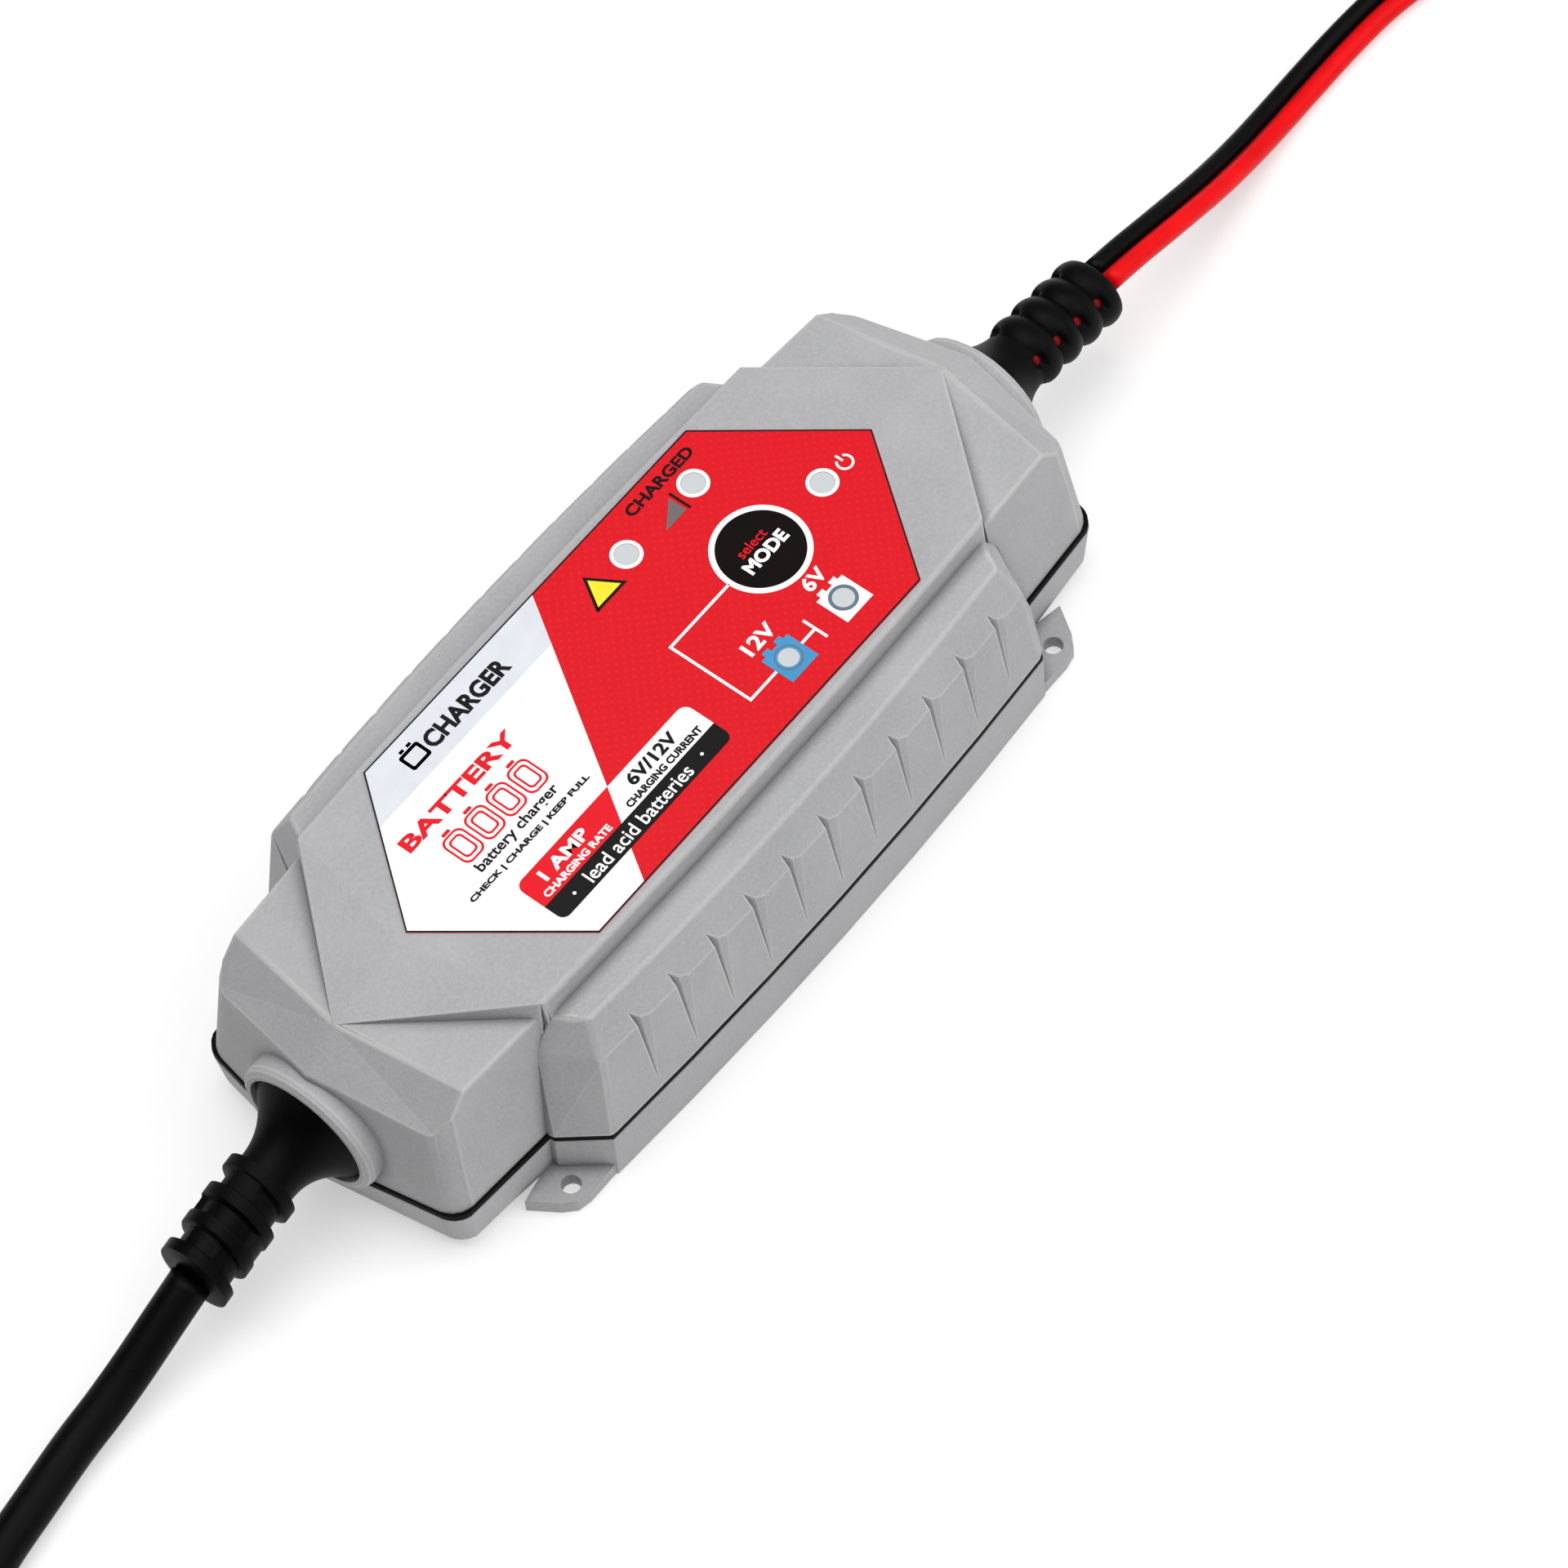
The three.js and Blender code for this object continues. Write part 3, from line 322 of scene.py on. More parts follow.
class Graph:
    """Short calls for adding nodes to a material or the world."""

    def __init__(self, owner):
        self.owner, self.tree = owner, owner.node_tree
        self.shader = self.tree.nodes.get("Principled BSDF")

    def add(self, kind, inputs=(), **settings):
        node = self.tree.nodes.new("ShaderNode" + kind)
        for key, value in settings.items():
            setattr(node, key, value)
        for key, value in dict(inputs).items():
            self.feed(node.inputs[key], value)
        return node

    def feed(self, socket, value):
        if isinstance(value, bpy.types.NodeSocket):
            self.tree.links.new(value, socket)
        else:
            socket.default_value = value

    def noise(self, scale, detail=3, roughness=0.5):
        place = self.add("TexCoord").outputs["Object"]
        inputs = {"Scale": scale, "Detail": detail, "Roughness": roughness, "Vector": place}
        return self.add("TexNoise", inputs).outputs["Fac"]

    def ramp(self, value, low, high, out_low=0.0, out_high=1.0):
        inputs = {0: value, 1: low, 2: high, 3: out_low, 4: out_high}
        return self.add("MapRange", inputs).outputs[0]

    def mix(self, factor, a, b):
        node = self.add("Mix", data_type="RGBA")
        for index, value in ((0, factor), (6, a), (7, b)):
            self.feed(node.inputs[index], value)
        return node.outputs[2]

    def bump(self, height, strength, distance, normal=None):
        inputs = {"Height": height, "Strength": strength, "Distance": distance}
        if normal is not None:
            inputs["Normal"] = normal
        return self.add("Bump", inputs).outputs["Normal"]

    def set(self, **inputs):
        for key, value in inputs.items():
            self.feed(self.shader.inputs[key.replace("_", " ")], value)


def case_plastic(name, wear_and_edge_highlight):
    """Light grey moulded plastic with a fine grain, a painted highlight along its outer edges and painted
    shade in its creases; the second argument is how far the painted highlight lightens the outer edges.
    """
    g = Graph(new_material(name, (0.38, 0.38, 0.39), 0.55))
    grain = g.noise(2600, 2, 0.6)
    cloud = g.noise(60, 3)
    light, dark = (0.38, 0.38, 0.39, 1), (0.338, 0.339, 0.349, 1)
    speck = g.ramp(g.noise(1500, 2, 0.7), 0.42, 0.62)
    tone = g.mix(g.ramp(cloud, 0.3, 0.7), dark, light)
    g.set(Roughness=g.ramp(grain, 0.3, 0.7, 0.5, 0.68), Specular_IOR_Level=0.35)
    soft = g.add("Bevel", {"Radius": 0.0002}, samples=4).outputs["Normal"]
    g.set(Normal=g.bump(grain, 0.5, 0.00014, soft))
    wide = g.add("Bevel", {"Radius": 0.0006}, samples=4).outputs["Normal"]
    flat = g.add("NewGeometry").outputs["Normal"]
    alike = g.add("VectorMath", {0: wide, 1: flat}, operation="DOT_PRODUCT").outputs["Value"]
    edge = g.ramp(alike, 0.9985, 0.982)
    open_air = g.add("AmbientOcclusion", {"Distance": 0.0022}, samples=6, only_local=True).outputs["AO"]
    # painted highlight: outer convex edges, where the wide bevel normal turns away from the face normal and
    # the AO node finds open air, are lightened towards pale grey
    painted_edge_highlight = g.add("Math", {0: edge, 1: g.ramp(open_air, 0.85, 1, 0, wear_and_edge_highlight)}, operation="MULTIPLY").outputs[0]
    body = g.mix(g.ramp(speck, 0, 1, 0, 0.4), tone, (0.43, 0.43, 0.44, 1))
    lit = g.mix(painted_edge_highlight, body, (0.62, 0.61, 0.60, 1))
    # painted shade: creases and recesses that the AO node finds closed in are darkened towards dark grey
    g.set(Base_Color=g.mix(g.ramp(open_air, 0.5, 0.95, 0.75, 0), lit, (0.14, 0.14, 0.15, 1)))
    return g.owner


def rubber(name, colour=(0.0012, 0.0012, 0.0014), roughness=0.42):
    """Fine-grained rubber with slightly rubbed, lighter places."""
    g = Graph(new_material(name, colour, roughness))
    g.set(Specular_IOR_Level=0.06)
    grain = g.noise(1800, 2, 0.6)
    wear_and_edge_highlight = g.noise(90, 3)
    lighter = tuple(min(1, 1.6 * c + 0.001) for c in colour) + (1,)
    g.set(Base_Color=g.mix(g.ramp(wear_and_edge_highlight, 0.35, 0.75), (*colour, 1), lighter))
    g.set(Roughness=g.ramp(wear_and_edge_highlight, 0.3, 0.7, roughness - 0.08, roughness + 0.12))
    g.set(Normal=g.bump(grain, 0.2, 0.00008))
    return g.owner


def plastic(name, colour, roughness=0.4, specular=0.3):
    """Smooth plastic or lacquer whose tone and gloss vary a little."""
    g = Graph(new_material(name, colour, roughness))
    g.set(Specular_IOR_Level=specular)
    cloud = g.noise(200, 3)
    darker = tuple(c * 0.8 for c in colour) + (1,)
    g.set(Base_Color=g.mix(g.ramp(cloud, 0.3, 0.7), darker, (*colour, 1)))
    g.set(Roughness=g.ramp(cloud, 0.3, 0.7, roughness - 0.05, roughness + 0.1))
    g.set(Normal=g.bump(g.noise(2200, 2), 0.15, 0.00006))
    return g.owner


def panel_film(name):
    """Red membrane film with rows of fine printed dots."""
    g = Graph(new_material(name, (0.6, 0.004, 0.012), 0.38))
    g.set(Specular_IOR_Level=0.15)
    place = g.add("TexCoord").outputs["Object"]
    turned = g.add("Mapping", {"Vector": place, "Rotation": (0, 0, math.radians(45))}).outputs["Vector"]
    cells = g.add("TexVoronoi", {"Vector": turned, "Scale": 760, "Randomness": 0}).outputs["Distance"]
    dots = g.ramp(cells, 0.22, 0.42)
    g.set(Base_Color=g.mix(dots, (0.80, 0.008, 0.018, 1), (0.64, 0.003, 0.010, 1)))
    g.set(Roughness=g.ramp(dots, 0, 1, 0.3, 0.42))
    g.set(Normal=g.bump(dots, 0.2, 0.00004))
    return g.owner


def metal(name, colour, roughness=0.3):
    """Metal with fine scratches."""
    g = Graph(new_material(name, colour, roughness, 1))
    scratch = g.noise(900, 4, 0.7)
    g.set(Roughness=g.ramp(scratch, 0.3, 0.7, roughness - 0.08, roughness + 0.12))
    g.set(Normal=g.bump(scratch, 0.1, 0.00004))
    return g.owner


def clear(name, colour, alpha):
    """Clear glass or lens plastic."""
    g = Graph(new_material(name, colour, 0.12))
    g.set(Roughness=g.ramp(g.noise(400, 2), 0.3, 0.7, 0.08, 0.2))
    g.set(Alpha=alpha, IOR=1.49)
    return g.owner


FINISHES = {
    "case_plastic": (case_plastic, 0.6),
    "seal_rubber": (rubber, (0.002, 0.002, 0.002), 0.6),
    "panel_film": (panel_film,),
    "button_film": (plastic, (0.005, 0.003, 0.003), 0.4, 0.06),
    "plunger_plastic": (plastic, (0.8, 0.79, 0.75)),
    "lamp_lens": (clear, (0.6, 0.63, 0.65), 0.9),
    "board": (plastic, (0.02, 0.16, 0.06), 0.3),
    "black_plastic": (plastic, (0.015, 0.015, 0.016)),
    "led_body": (plastic, (0.75, 0.75, 0.7), 0.3),
    "screw_steel": (metal, (0.62, 0.63, 0.65)),
    "transformer_tape": (plastic, (0.7, 0.5, 0.06), 0.3),
    "capacitor_sleeve": (plastic, (0.03, 0.06, 0.2), 0.25),
    "ferrite": (plastic, (0.05, 0.045, 0.045), 0.6),
    "fuse_glass": (clear, (0.85, 0.9, 0.9), 0.35),
    "heat_sink_metal": (metal, (0.6, 0.61, 0.63), 0.4),
    "cord_rubber": (rubber,),
    "wire_red": (plastic, (0.80, 0.0015, 0.004), 0.35, 0.12),
    "wire_black": (plastic, (0.0015, 0.0015, 0.0017), 0.35, 0.08),
    "pin_brass": (metal, (0.55, 0.53, 0.49), 0.3),
    "clip_red": (plastic, (0.55, 0.006, 0.014), 0.45),
    "clip_black": (plastic, (0.014, 0.014, 0.015), 0.45),
    "clip_steel": (metal, (0.42, 0.43, 0.44), 0.42),
}
MATERIALS = {slot: make(slot, *facts) for slot, (make, *facts) in FINISHES.items()}


def dress_nodes():
    """Give every CAD node the finish of its record slot."""
    slot_of = {s["node"]: s["material_slot"] for s in frame["record"]["subparts"]}
    for name, node in NODES.items():
        node.data.materials.clear()
        node.data.materials.append(MATERIALS[slot_of[name]])


dress_nodes()
NODES["base_shell"].data.materials[0] = case_plastic("base_plastic", 0)


# ---------------- case shells
def merged_copy(node):
    """The node's own surface with its flat faces whole, ready for rounding."""
    bm = bmesh.new()
    bm.from_mesh(NODES[node].data)
    bmesh.ops.remove_doubles(bm, verts=bm.verts, dist=2e-6)
    bmesh.ops.dissolve_limit(bm, angle_limit=math.radians(0.7), verts=bm.verts, edges=bm.edges)
    return bm


def faces_out(edge, inside):
    """True where both faces beside the edge look away from the inside of the case."""
    return all(f.normal.dot(f.calc_center_median() - inside) > 0 for f in edge.link_faces)


def near_detail(point):
    """True at the lamp holes, the button, the collars, the grooves, the seam and the notches' foot."""
    x, y, z = (c / MM for c in point)
    holes = [(lx, ly, 3.2) for lx, ly in LAMPS.values()] + [(BUTTON_X, 0, 8.2)]
    if z > 38.6 and any(math.hypot(x - hx, y - hy) < r for hx, hy, r in holes):
        return True
    if abs(x) > 76 and math.hypot(y, z - PORT_Z) < 12.9:
        return True
    if z < 13 and 58 < abs(x) < 59:
        return True
    return abs(x) < 50 and abs(y) > 29 and z < 34


def edge_radius(edge):
    """Half width of the rounding of an outer edge, in mm."""
    low, high = sorted(v.co.z / MM for v in edge.verts)
    way = (edge.verts[1].co - edge.verts[0].co).normalized()
    x, y = (sum(abs(v.co[i]) for v in edge.verts) / 2 / MM for i in (0, 1))
    if high < 12.5 or edge.calc_length() < 1.2 * MM:
        return 0
    if low > 40.7:
        return 0.8 if abs(way.x) > 0.9 else 0.3
    if abs(way.z) > 0.8 and x < 57 and y > 28:
        return 1.0
    if abs(way.z) > 0.8 and x > 70:
        return 0
    return 0.5


def is_soft(edge, angle):
    """True between the small steps of a curve, false along the edge of a facet."""
    x, y, z = (edge.verts[0].co + edge.verts[1].co) / 2 / MM
    upright = (edge.verts[1].co - edge.verts[0].co).normalized().z
    curved = abs(x) > 70 and (abs(upright) > 0.8 or math.hypot(y, z - PORT_Z) < 13.5)
    return abs(angle) < math.radians(18 if curved else 4)


def close_slits(bm):
    """Weld shut the hair-thin slit that the rounding of an end corner leaves beside the long wall."""
    deep = math.radians(140)
    angle = {e: e.calc_face_angle_signed(0) for e in bm.edges if len(e.link_faces) == 2}
    for slit in [e for e in angle if angle[e] < -deep and e.calc_length() > 15 * MM]:
        side = next(f for f in slit.link_faces if any(angle.get(e, 0) > deep for e in f.edges))
        rim = sorted((v for v in side.verts if v not in slit.verts), key=lambda v: v.co.z)
        low, high = sorted(slit.verts, key=lambda v: v.co.z)
        targets = {low: rim[0], high: rim[-1]}
        for vert in rim[1:-1]:
            share = (vert.co.z - low.co.z) / (high.co.z - low.co.z)
            low = bmesh.utils.edge_split(bm.edges.get((low, high)), low, share)[1]
            targets[low] = vert
        bmesh.ops.weld_verts(bm, targetmap=targets)


def set_seam(bm):
    """Set the cover's lower edge, so that the seam is widest along the long walls."""
    for vert in bm.verts:
        x, y, z = (abs(c) / MM for c in vert.co)
        if abs(z - SEAM_TOP) > 0.05:
            continue
        if y > 27:
            vert.co.z += SEAM_LIFT * MM
        elif x > 58 and y > 14:
            vert.co.z -= SEAM_DROP * MM


def rounded_cover():
    """The top cover with soft outer edges, its slits shut and its seam set."""
    bm = merged_copy("top_cover")
    close_slits(bm)
    set_seam(bm)
    inside = Vector((0, 0, 12 * MM))
    weight = bm.edges.layers.float.new("bevel_weight_edge")
    for edge in bm.edges:
        if len(edge.link_faces) != 2:
            continue
        angle = edge.calc_face_angle_signed(0)
        edge.smooth = is_soft(edge, angle)
        rounded = angle > math.radians(6) and faces_out(edge, inside)
        if rounded and not any(near_detail(v.co) for v in edge.verts):
            edge[weight] = edge_radius(edge)
    piece = new_piece("case_top", bm, "case_plastic")
    rounding = piece.modifiers.new("rounding", "BEVEL")
    rounding.limit_method = "WEIGHT"
    rounding.width = MM
    rounding.segments = 3
    rounding.use_clamp_overlap = False
    rounding.harden_normals = True
    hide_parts("top_cover")


rounded_cover()


# ---------------- printed panel
class Ink:
    """Thin printed shapes of one colour on the panel, in mm, joined into one piece."""

    sheet = 0.02  # thickness of one printed layer

    def __init__(self, name, colour, layer, body="charger"):
        self.name, self.material, self.body = name, INKS[colour], body
        self.top = PANEL_Z + self.sheet * (layer + 1)
        self.bm = bmesh.new()

    def raise_faces(self, faces):
        """Give flat faces at the ink's top a side and an underside."""
        raised = bmesh.ops.extrude_face_region(self.bm, geom=faces)["geom"]
        low = [v for v in raised if isinstance(v, bmesh.types.BMVert)]
        bmesh.ops.translate(self.bm, verts=low, vec=(0, 0, -1.6 * self.sheet))

    def shape(self, outline):
        verts = [self.bm.verts.new((x, y, self.top)) for x, y in outline]
        self.raise_faces([self.bm.faces.new(verts)])

    def band(self, outer, inner):
        """The strip between two outlines with the same number of points."""
        rings = [[self.bm.verts.new((x, y, self.top)) for x, y in line] for line in (outer, inner)]
        self.raise_faces(bridge(self.bm, *rings))

    def ring(self, x, y, outer, inner, steps=48):
        self.band(arc(x, y, outer, 0, 360, steps)[:-1], arc(x, y, inner, 0, 360, steps)[:-1])

    def line(self, points, width):
        """A stroke with mitred corners along open points."""
        left, right = [], []
        for k, point in enumerate(points):
            here = Vector(point)
            ways = []
            if k > 0:
                ways.append((here - Vector(points[k - 1])).normalized())
            if k + 1 < len(points):
                ways.append((Vector(points[k + 1]) - here).normalized())
            normals = [Vector((-w.y, w.x)) for w in ways]
            mitre = sum(normals, Vector((0, 0))).normalized()
            reach = width / 2 / mitre.dot(normals[0])
            left.append(tuple(here + mitre * reach))
            right.append(tuple(here - mitre * reach))
        self.shape(left + right[::-1])

    def words(self, text, low, high, weight=0.0):
        """Text that fills the box from low to high."""
        curve = bpy.data.curves.new("words", "FONT")
        curve.body = text
        curve.offset = weight
        curve.resolution_u = 3
        holder = add_object("words", curve)
        bpy.context.view_layer.update()
        mesh = holder.to_mesh()
        xs = [v.co.x for v in mesh.vertices]
        ys = [v.co.y for v in mesh.vertices]
        size = [(high[i] - low[i]) / (max(c) - min(c)) for i, c in enumerate((xs, ys))]
        letters = bmesh.new()
        letters.from_mesh(mesh)
        bmesh.ops.remove_doubles(letters, verts=letters.verts, dist=1e-5)
        made = {}
        for vert in letters.verts:
            x = low[0] + (vert.co.x - min(xs)) * size[0]
            y = low[1] + (vert.co.y - min(ys)) * size[1]
            made[vert] = self.bm.verts.new((x, y, self.top))
        faces = []
        for face in letters.faces:
            corners = [made[v] for v in face.verts]
            if face.normal.z < 0:
                corners.reverse()
            faces.append(self.bm.faces.new(corners))
        letters.free()
        holder.to_mesh_clear()
        bpy.data.objects.remove(holder)
        bpy.data.curves.remove(curve)
        self.raise_faces(faces)

    def finish(self):
        bmesh.ops.scale(self.bm, verts=self.bm.verts, vec=(MM, MM, MM))
        bmesh.ops.recalc_face_normals(self.bm, faces=self.bm.faces)
        slot = "button_film" if self.body == "button" else "panel_film"
        new_piece(self.name, self.bm, slot, self.material, self.body, flat=True)


def arc(x, y, radius, start, end, steps):
    """Points of an arc, angles in degrees from +X."""
    points = []
    for k in range(steps + 1):
        turn = math.radians(start + (end - start) * k / steps)
        points.append((x + radius * math.cos(turn), y + radius * math.sin(turn)))
    return points


def rounded_box(low, high, radius, corners=(True, True, True, True)):
    """Outline of a box; corners says which of the four are round, from the low-low one on."""
    spots = [(low[0], low[1], 180), (high[0], low[1], 270), (high[0], high[1], 0), (low[0], high[1], 90)]
    outline = []
    for (x, y, start), is_round in zip(spots, corners):
        if is_round:
            cx = x + radius * (1 if x == low[0] else -1)
            cy = y + radius * (1 if y == low[1] else -1)
            outline += arc(cx, cy, radius, start, start + 90, 5)
        else:
            outline.append((x, y))
    return outline


def hexagon(inset):
    """The panel's outline, moved inwards."""
    tip, corner, half = 55.6 - 1.2 * inset, 38.4 - 0.55 * inset, 23 - inset
    return [(tip, 0), (corner, half), (-corner, half), (-tip, 0), (-corner, -half), (corner, -half)]


def slant(*heights):
    """Points at these heights on the slanted border between the red and the white field."""
    return [(1.9 - (24.1 - y) * 0.632, y) for y in heights]


def battery_icon(ink, x, y):
    """A square battery with two terminals, 6.2 mm wide, in two halves around a lamp's hole."""
    half, foot, neck, top, hole = 3.1, -3.3, 2.8, 3.6, 1.7
    for side in (1, -1):
        outline = [(0, foot), (half, foot), (half, neck), (2.1, neck), (2.1, top), (0.7, top), (0.7, neck)]
        outline += [(0, neck)] + arc(0, 0, hole, 90, -90, 18)
        ink.shape([(x + side * px, y + py) for px, py in outline][::side])


FIELD = hexagon(0.25)  # the printed fields stop this far inside the panel's outline
FIELD_TOP, FIELD_FOOT = FIELD[1][1], FIELD[4][1]
BAND_FOOT = 14.8  # lower edge of the pale band along the panel's top
TABLE_LEFT, TABLE_RIGHT = -40, -0.2  # the small red, white and black table under the meter
TABLE_TOP, TABLE_STRIP, TABLE_FOOT = -8.0, -13.8, -17.6
METER_X, METER_PITCH, METER_WIDTH = -41.3, 5.0, 4.4  # the row of four battery outlines


def print_fields():
    """The white left part of the panel, and the pale band along its top."""
    white = Ink("print_white_field", "white", 0)
    white.shape([*slant(FIELD_TOP), *FIELD[2:5], *slant(FIELD_FOOT)])
    white.finish()
    pale = Ink("print_pale_band", "pale", 1)
    corner, tip = FIELD[2], FIELD[3]
    end_x = corner[0] - (corner[0] - tip[0]) * (FIELD_TOP - BAND_FOOT) / FIELD_TOP
    pale.shape([*slant(FIELD_TOP), corner, (end_x, BAND_FOOT), *slant(BAND_FOOT)])
    pale.finish()


def print_red():
    """The heading, four double battery outlines, the small battery sign and the table's red end."""
    red = Ink("print_red", "red", 1)
    red.words("BATTERY", (-44.9, 8.1), (-19.6, 10.9), 0.035)
    for k in range(4):
        x = METER_X + METER_PITCH * k
        for outside in (0, 0.85):
            lines = []
            for inset in (outside, outside + 0.36):
                low, high = (x + inset, -0.2 + inset), (x + METER_WIDTH - inset, 5.7 - inset)
                lines.append(rounded_box(low, high, 1.3 - inset * 0.6))
            red.band(*lines)
        red.shape(rounded_box((x + 1.4, 5.9), (x + 3.0, 6.5), 0.2))
    red.band(rounded_box((-33.6, 16.9), (-29.4, 20.3), 0.5), rounded_box((-33, 17.5), (-30, 19.7), 0.2))
    for x in (-32.7, -31.1):
        red.shape([(x, 20.45), (x + 0.9, 20.45), (x + 0.9, 21), (x, 21)])
    corners = (False, False, False, True)
    left = rounded_box((TABLE_LEFT, TABLE_STRIP), (-10, TABLE_TOP), 1.6, corners)
    left = [p for p in left if p[0] < -30]
    red.shape([left[0], *slant(TABLE_STRIP, TABLE_TOP), *left[1:]])
    red.finish()


def print_white_marks():
    """The table's white end, the mode's wiring line, the signs by the lamps, and the rings."""
    marks = Ink("print_white_marks", "white", 1)
    corners = (False, False, True, False)
    right = rounded_box((-30, TABLE_STRIP), (TABLE_RIGHT, TABLE_TOP), 1.6, corners)
    right = [p for p in right if p[0] > -10]
    marks.shape([*slant(TABLE_STRIP), *right, *slant(TABLE_TOP)])
    marks.line([(20.4, -0.1), (6.3, -0.1), (6.3, -15.7), (12.6, -15.7)], 0.5)
    marks.line([(22, -13.2), (22, -18)], 0.5)
    marks.line([(21.76, -15.6), (18.6, -15.6)], 0.5)
    battery_icon(marks, *LAMPS["six_volt"])
    marks.words("6V", (26.6, -11.2), (31.0, -8.5), 0.03)
    marks.words("12V", (12.3, -11.2), (18.6, -8.5), 0.03)
    marks.shape(arc(48.4, -0.4, 1.5, 125, 415, 24) + arc(48.4, -0.4, 1.08, 415, 125, 24))
    marks.line([(48.4, 0), (48.4, 1.5)], 0.42)
    for name in ("fault", "charged", "power"):
        marks.ring(*LAMPS[name], 2.62, 1.98)
    marks.ring(BUTTON_X, 0, 8.05, 7.1, 72)
    marks.finish()


def print_lamp_signs():
    """The blue battery round one lamp, and dark rims round the two lowest lamps."""
    blue = Ink("print_blue", "blue", 2)
    battery_icon(blue, *LAMPS["twelve_volt"])
    blue.finish()
    rims = Ink("print_lamp_rims", "slate", 3)
    rims.ring(*LAMPS["six_volt"], 2.35, 1.75)
    rims.ring(*LAMPS["twelve_volt"], 2.3, 2.02)
    rims.finish()


def print_black():
    """The panel's thin border, the table's strip, and the words and lines in black."""
    black = Ink("print_black", "black", 2)
    black.band(hexagon(0), hexagon(0.24))
    corners = (True, True, False, False)
    black.shape(rounded_box((TABLE_LEFT, TABLE_FOOT), (TABLE_RIGHT, TABLE_STRIP), 1.4, corners))
    for text, low, high, weight in (
        ("CHARGER", (-28.9, 16.9), (-10.6, 20.1), 0.04),
        ("battery charger", (-41.0, -3.1), (-22.9, -0.7), 0.02),
        ("CHECK | CHARGE | KEEP FULL", (-45.8, -5.2), (-18.6, -3.9), 0.045),
        ("6V/12V", (-15.9, -11.3), (-5.3, -9.0), 0.035),
        ("CHARGING CURRENT", (-19.2, -13.3), (-2.0, -12.0), 0.045),
        ("CHARGED", (21.0, 19.3), (36.2, 21.4), 0.03),
    ):
        black.words(text, low, high, weight)
    black.line([(27.8, 13.4), (27.8, 17.7)], 0.45)
    black.line([(4.9, 13.0), (11.2, 13.0), (8.05, 18.2), (4.74, 12.75)], 0.5)
    black.finish()


def print_table_words():
    """White words on the table, with a dot at either side of the lowest."""
    words = Ink("print_white_words", "white", 3)
    words.words("1 AMP", (-36.4, -11.3), (-26.2, -9.1), 0.035)
    words.words("CHARGING RATE", (-38.5, -13.3), (-23.4, -12.0), 0.04)
    words.words("lead acid batteries", (-32.5, -17.0), (-8.5, -14.6), 0.012)
    for x in (-35.5, -5.5):
        words.shape(arc(x, -15.8, 0.3, 0, 360, 12)[:-1])
    words.finish()


def print_triangles():
    """The fillings of the two signs above the upper lamps."""
    grey = Ink("print_grey", "grey", 2)
    grey.shape([(22.2, 13.7), (27.1, 13.7), (27.1, 17.2)])
    grey.finish()
    yellow = Ink("print_yellow", "yellow", 1)
    yellow.shape([(5.1, 13.1), (11.0, 13.1), (8.05, 17.9)])
    yellow.finish()


def print_button():
    """The words on the button, which travel with it."""
    mode = Ink("print_mode", "white", 0, "button")
    mode.words("MODE", (23.8, -2.1), (32.9, 0.35), 0.045)
    mode.finish()
    select = Ink("print_select", "red", 0, "button")
    select.words("select", (25.2, 0.9), (31.2, 2.7), 0.01)
    select.finish()


def ink_material(name, colour):
    """Printed ink behind a slightly grained film."""
    g = Graph(new_material("ink_" + name, colour, 0.38))
    g.set(Specular_IOR_Level=0.15)
    cloud = g.noise(260, 3)
    darker = tuple(c * 0.93 for c in colour) + (1,)
    g.set(Base_Color=g.mix(g.ramp(cloud, 0.3, 0.7), darker, (*colour, 1)))
    g.set(Roughness=g.ramp(cloud, 0.3, 0.7, 0.32, 0.45))
    g.set(Normal=g.bump(g.noise(1500, 2), 0.08, 0.00004))
    return g.owner


INK_COLOURS = {
    "white": (0.86, 0.86, 0.86),
    "pale": (0.68, 0.70, 0.75),
    "red": (0.74, 0.004, 0.014),
    "black": (0.0015, 0.0015, 0.0015),
    "grey": (0.16, 0.14, 0.14),
    "slate": (0.13, 0.17, 0.23),
    "blue": (0.055, 0.29, 0.55),
    "yellow": (0.9, 0.76, 0.03),
}
INKS = {name: ink_material(name, colour) for name, colour in INK_COLOURS.items()}
print_fields()
print_red()
print_white_marks()
print_lamp_signs()
print_black()
print_table_words()
print_triangles()
print_button()


# ---------------- boots
BOOT_START = 77.2  # where each boot's flange begins inside its collar
FLANGE_R, FLANGE_LENGTH = 10.4, 4.6
MAINS_BOOT_X, MAINS_BOOT_Z = 109.5, 13  # the middle of the mains boot's free end
WIRE_BOOT_X, WIRE_BOOT_Z = 111.8, 15.4  # the middle of the battery boot's free end
RING_PITCH, RING_R, WEB_R = 4.9, 6.35, 6.0  # the mains boot's square rings and the webs between them
BULGE, WAIST_R = 5.2, 5.45  # length of each bulge of the battery boot, and its radius between them
WINDOWS = []  # distance and angle of each small window of the battery boot, one waist after another
for bulge in range(1, 5):
    for degrees in (143, 37, 217, 323):
        WINDOWS.append((WIRE_BOOT_X - BOOT_START - BULGE * bulge + 0.5, math.radians(degrees)))


def boot_sag(along, length, drop):
    """How far a boot's centre line has come down at this distance from its flange."""
    t = max(0, (along - FLANGE_LENGTH) / (length - FLANGE_LENGTH))
    return drop * t * t * (1.6 - 0.6 * t)


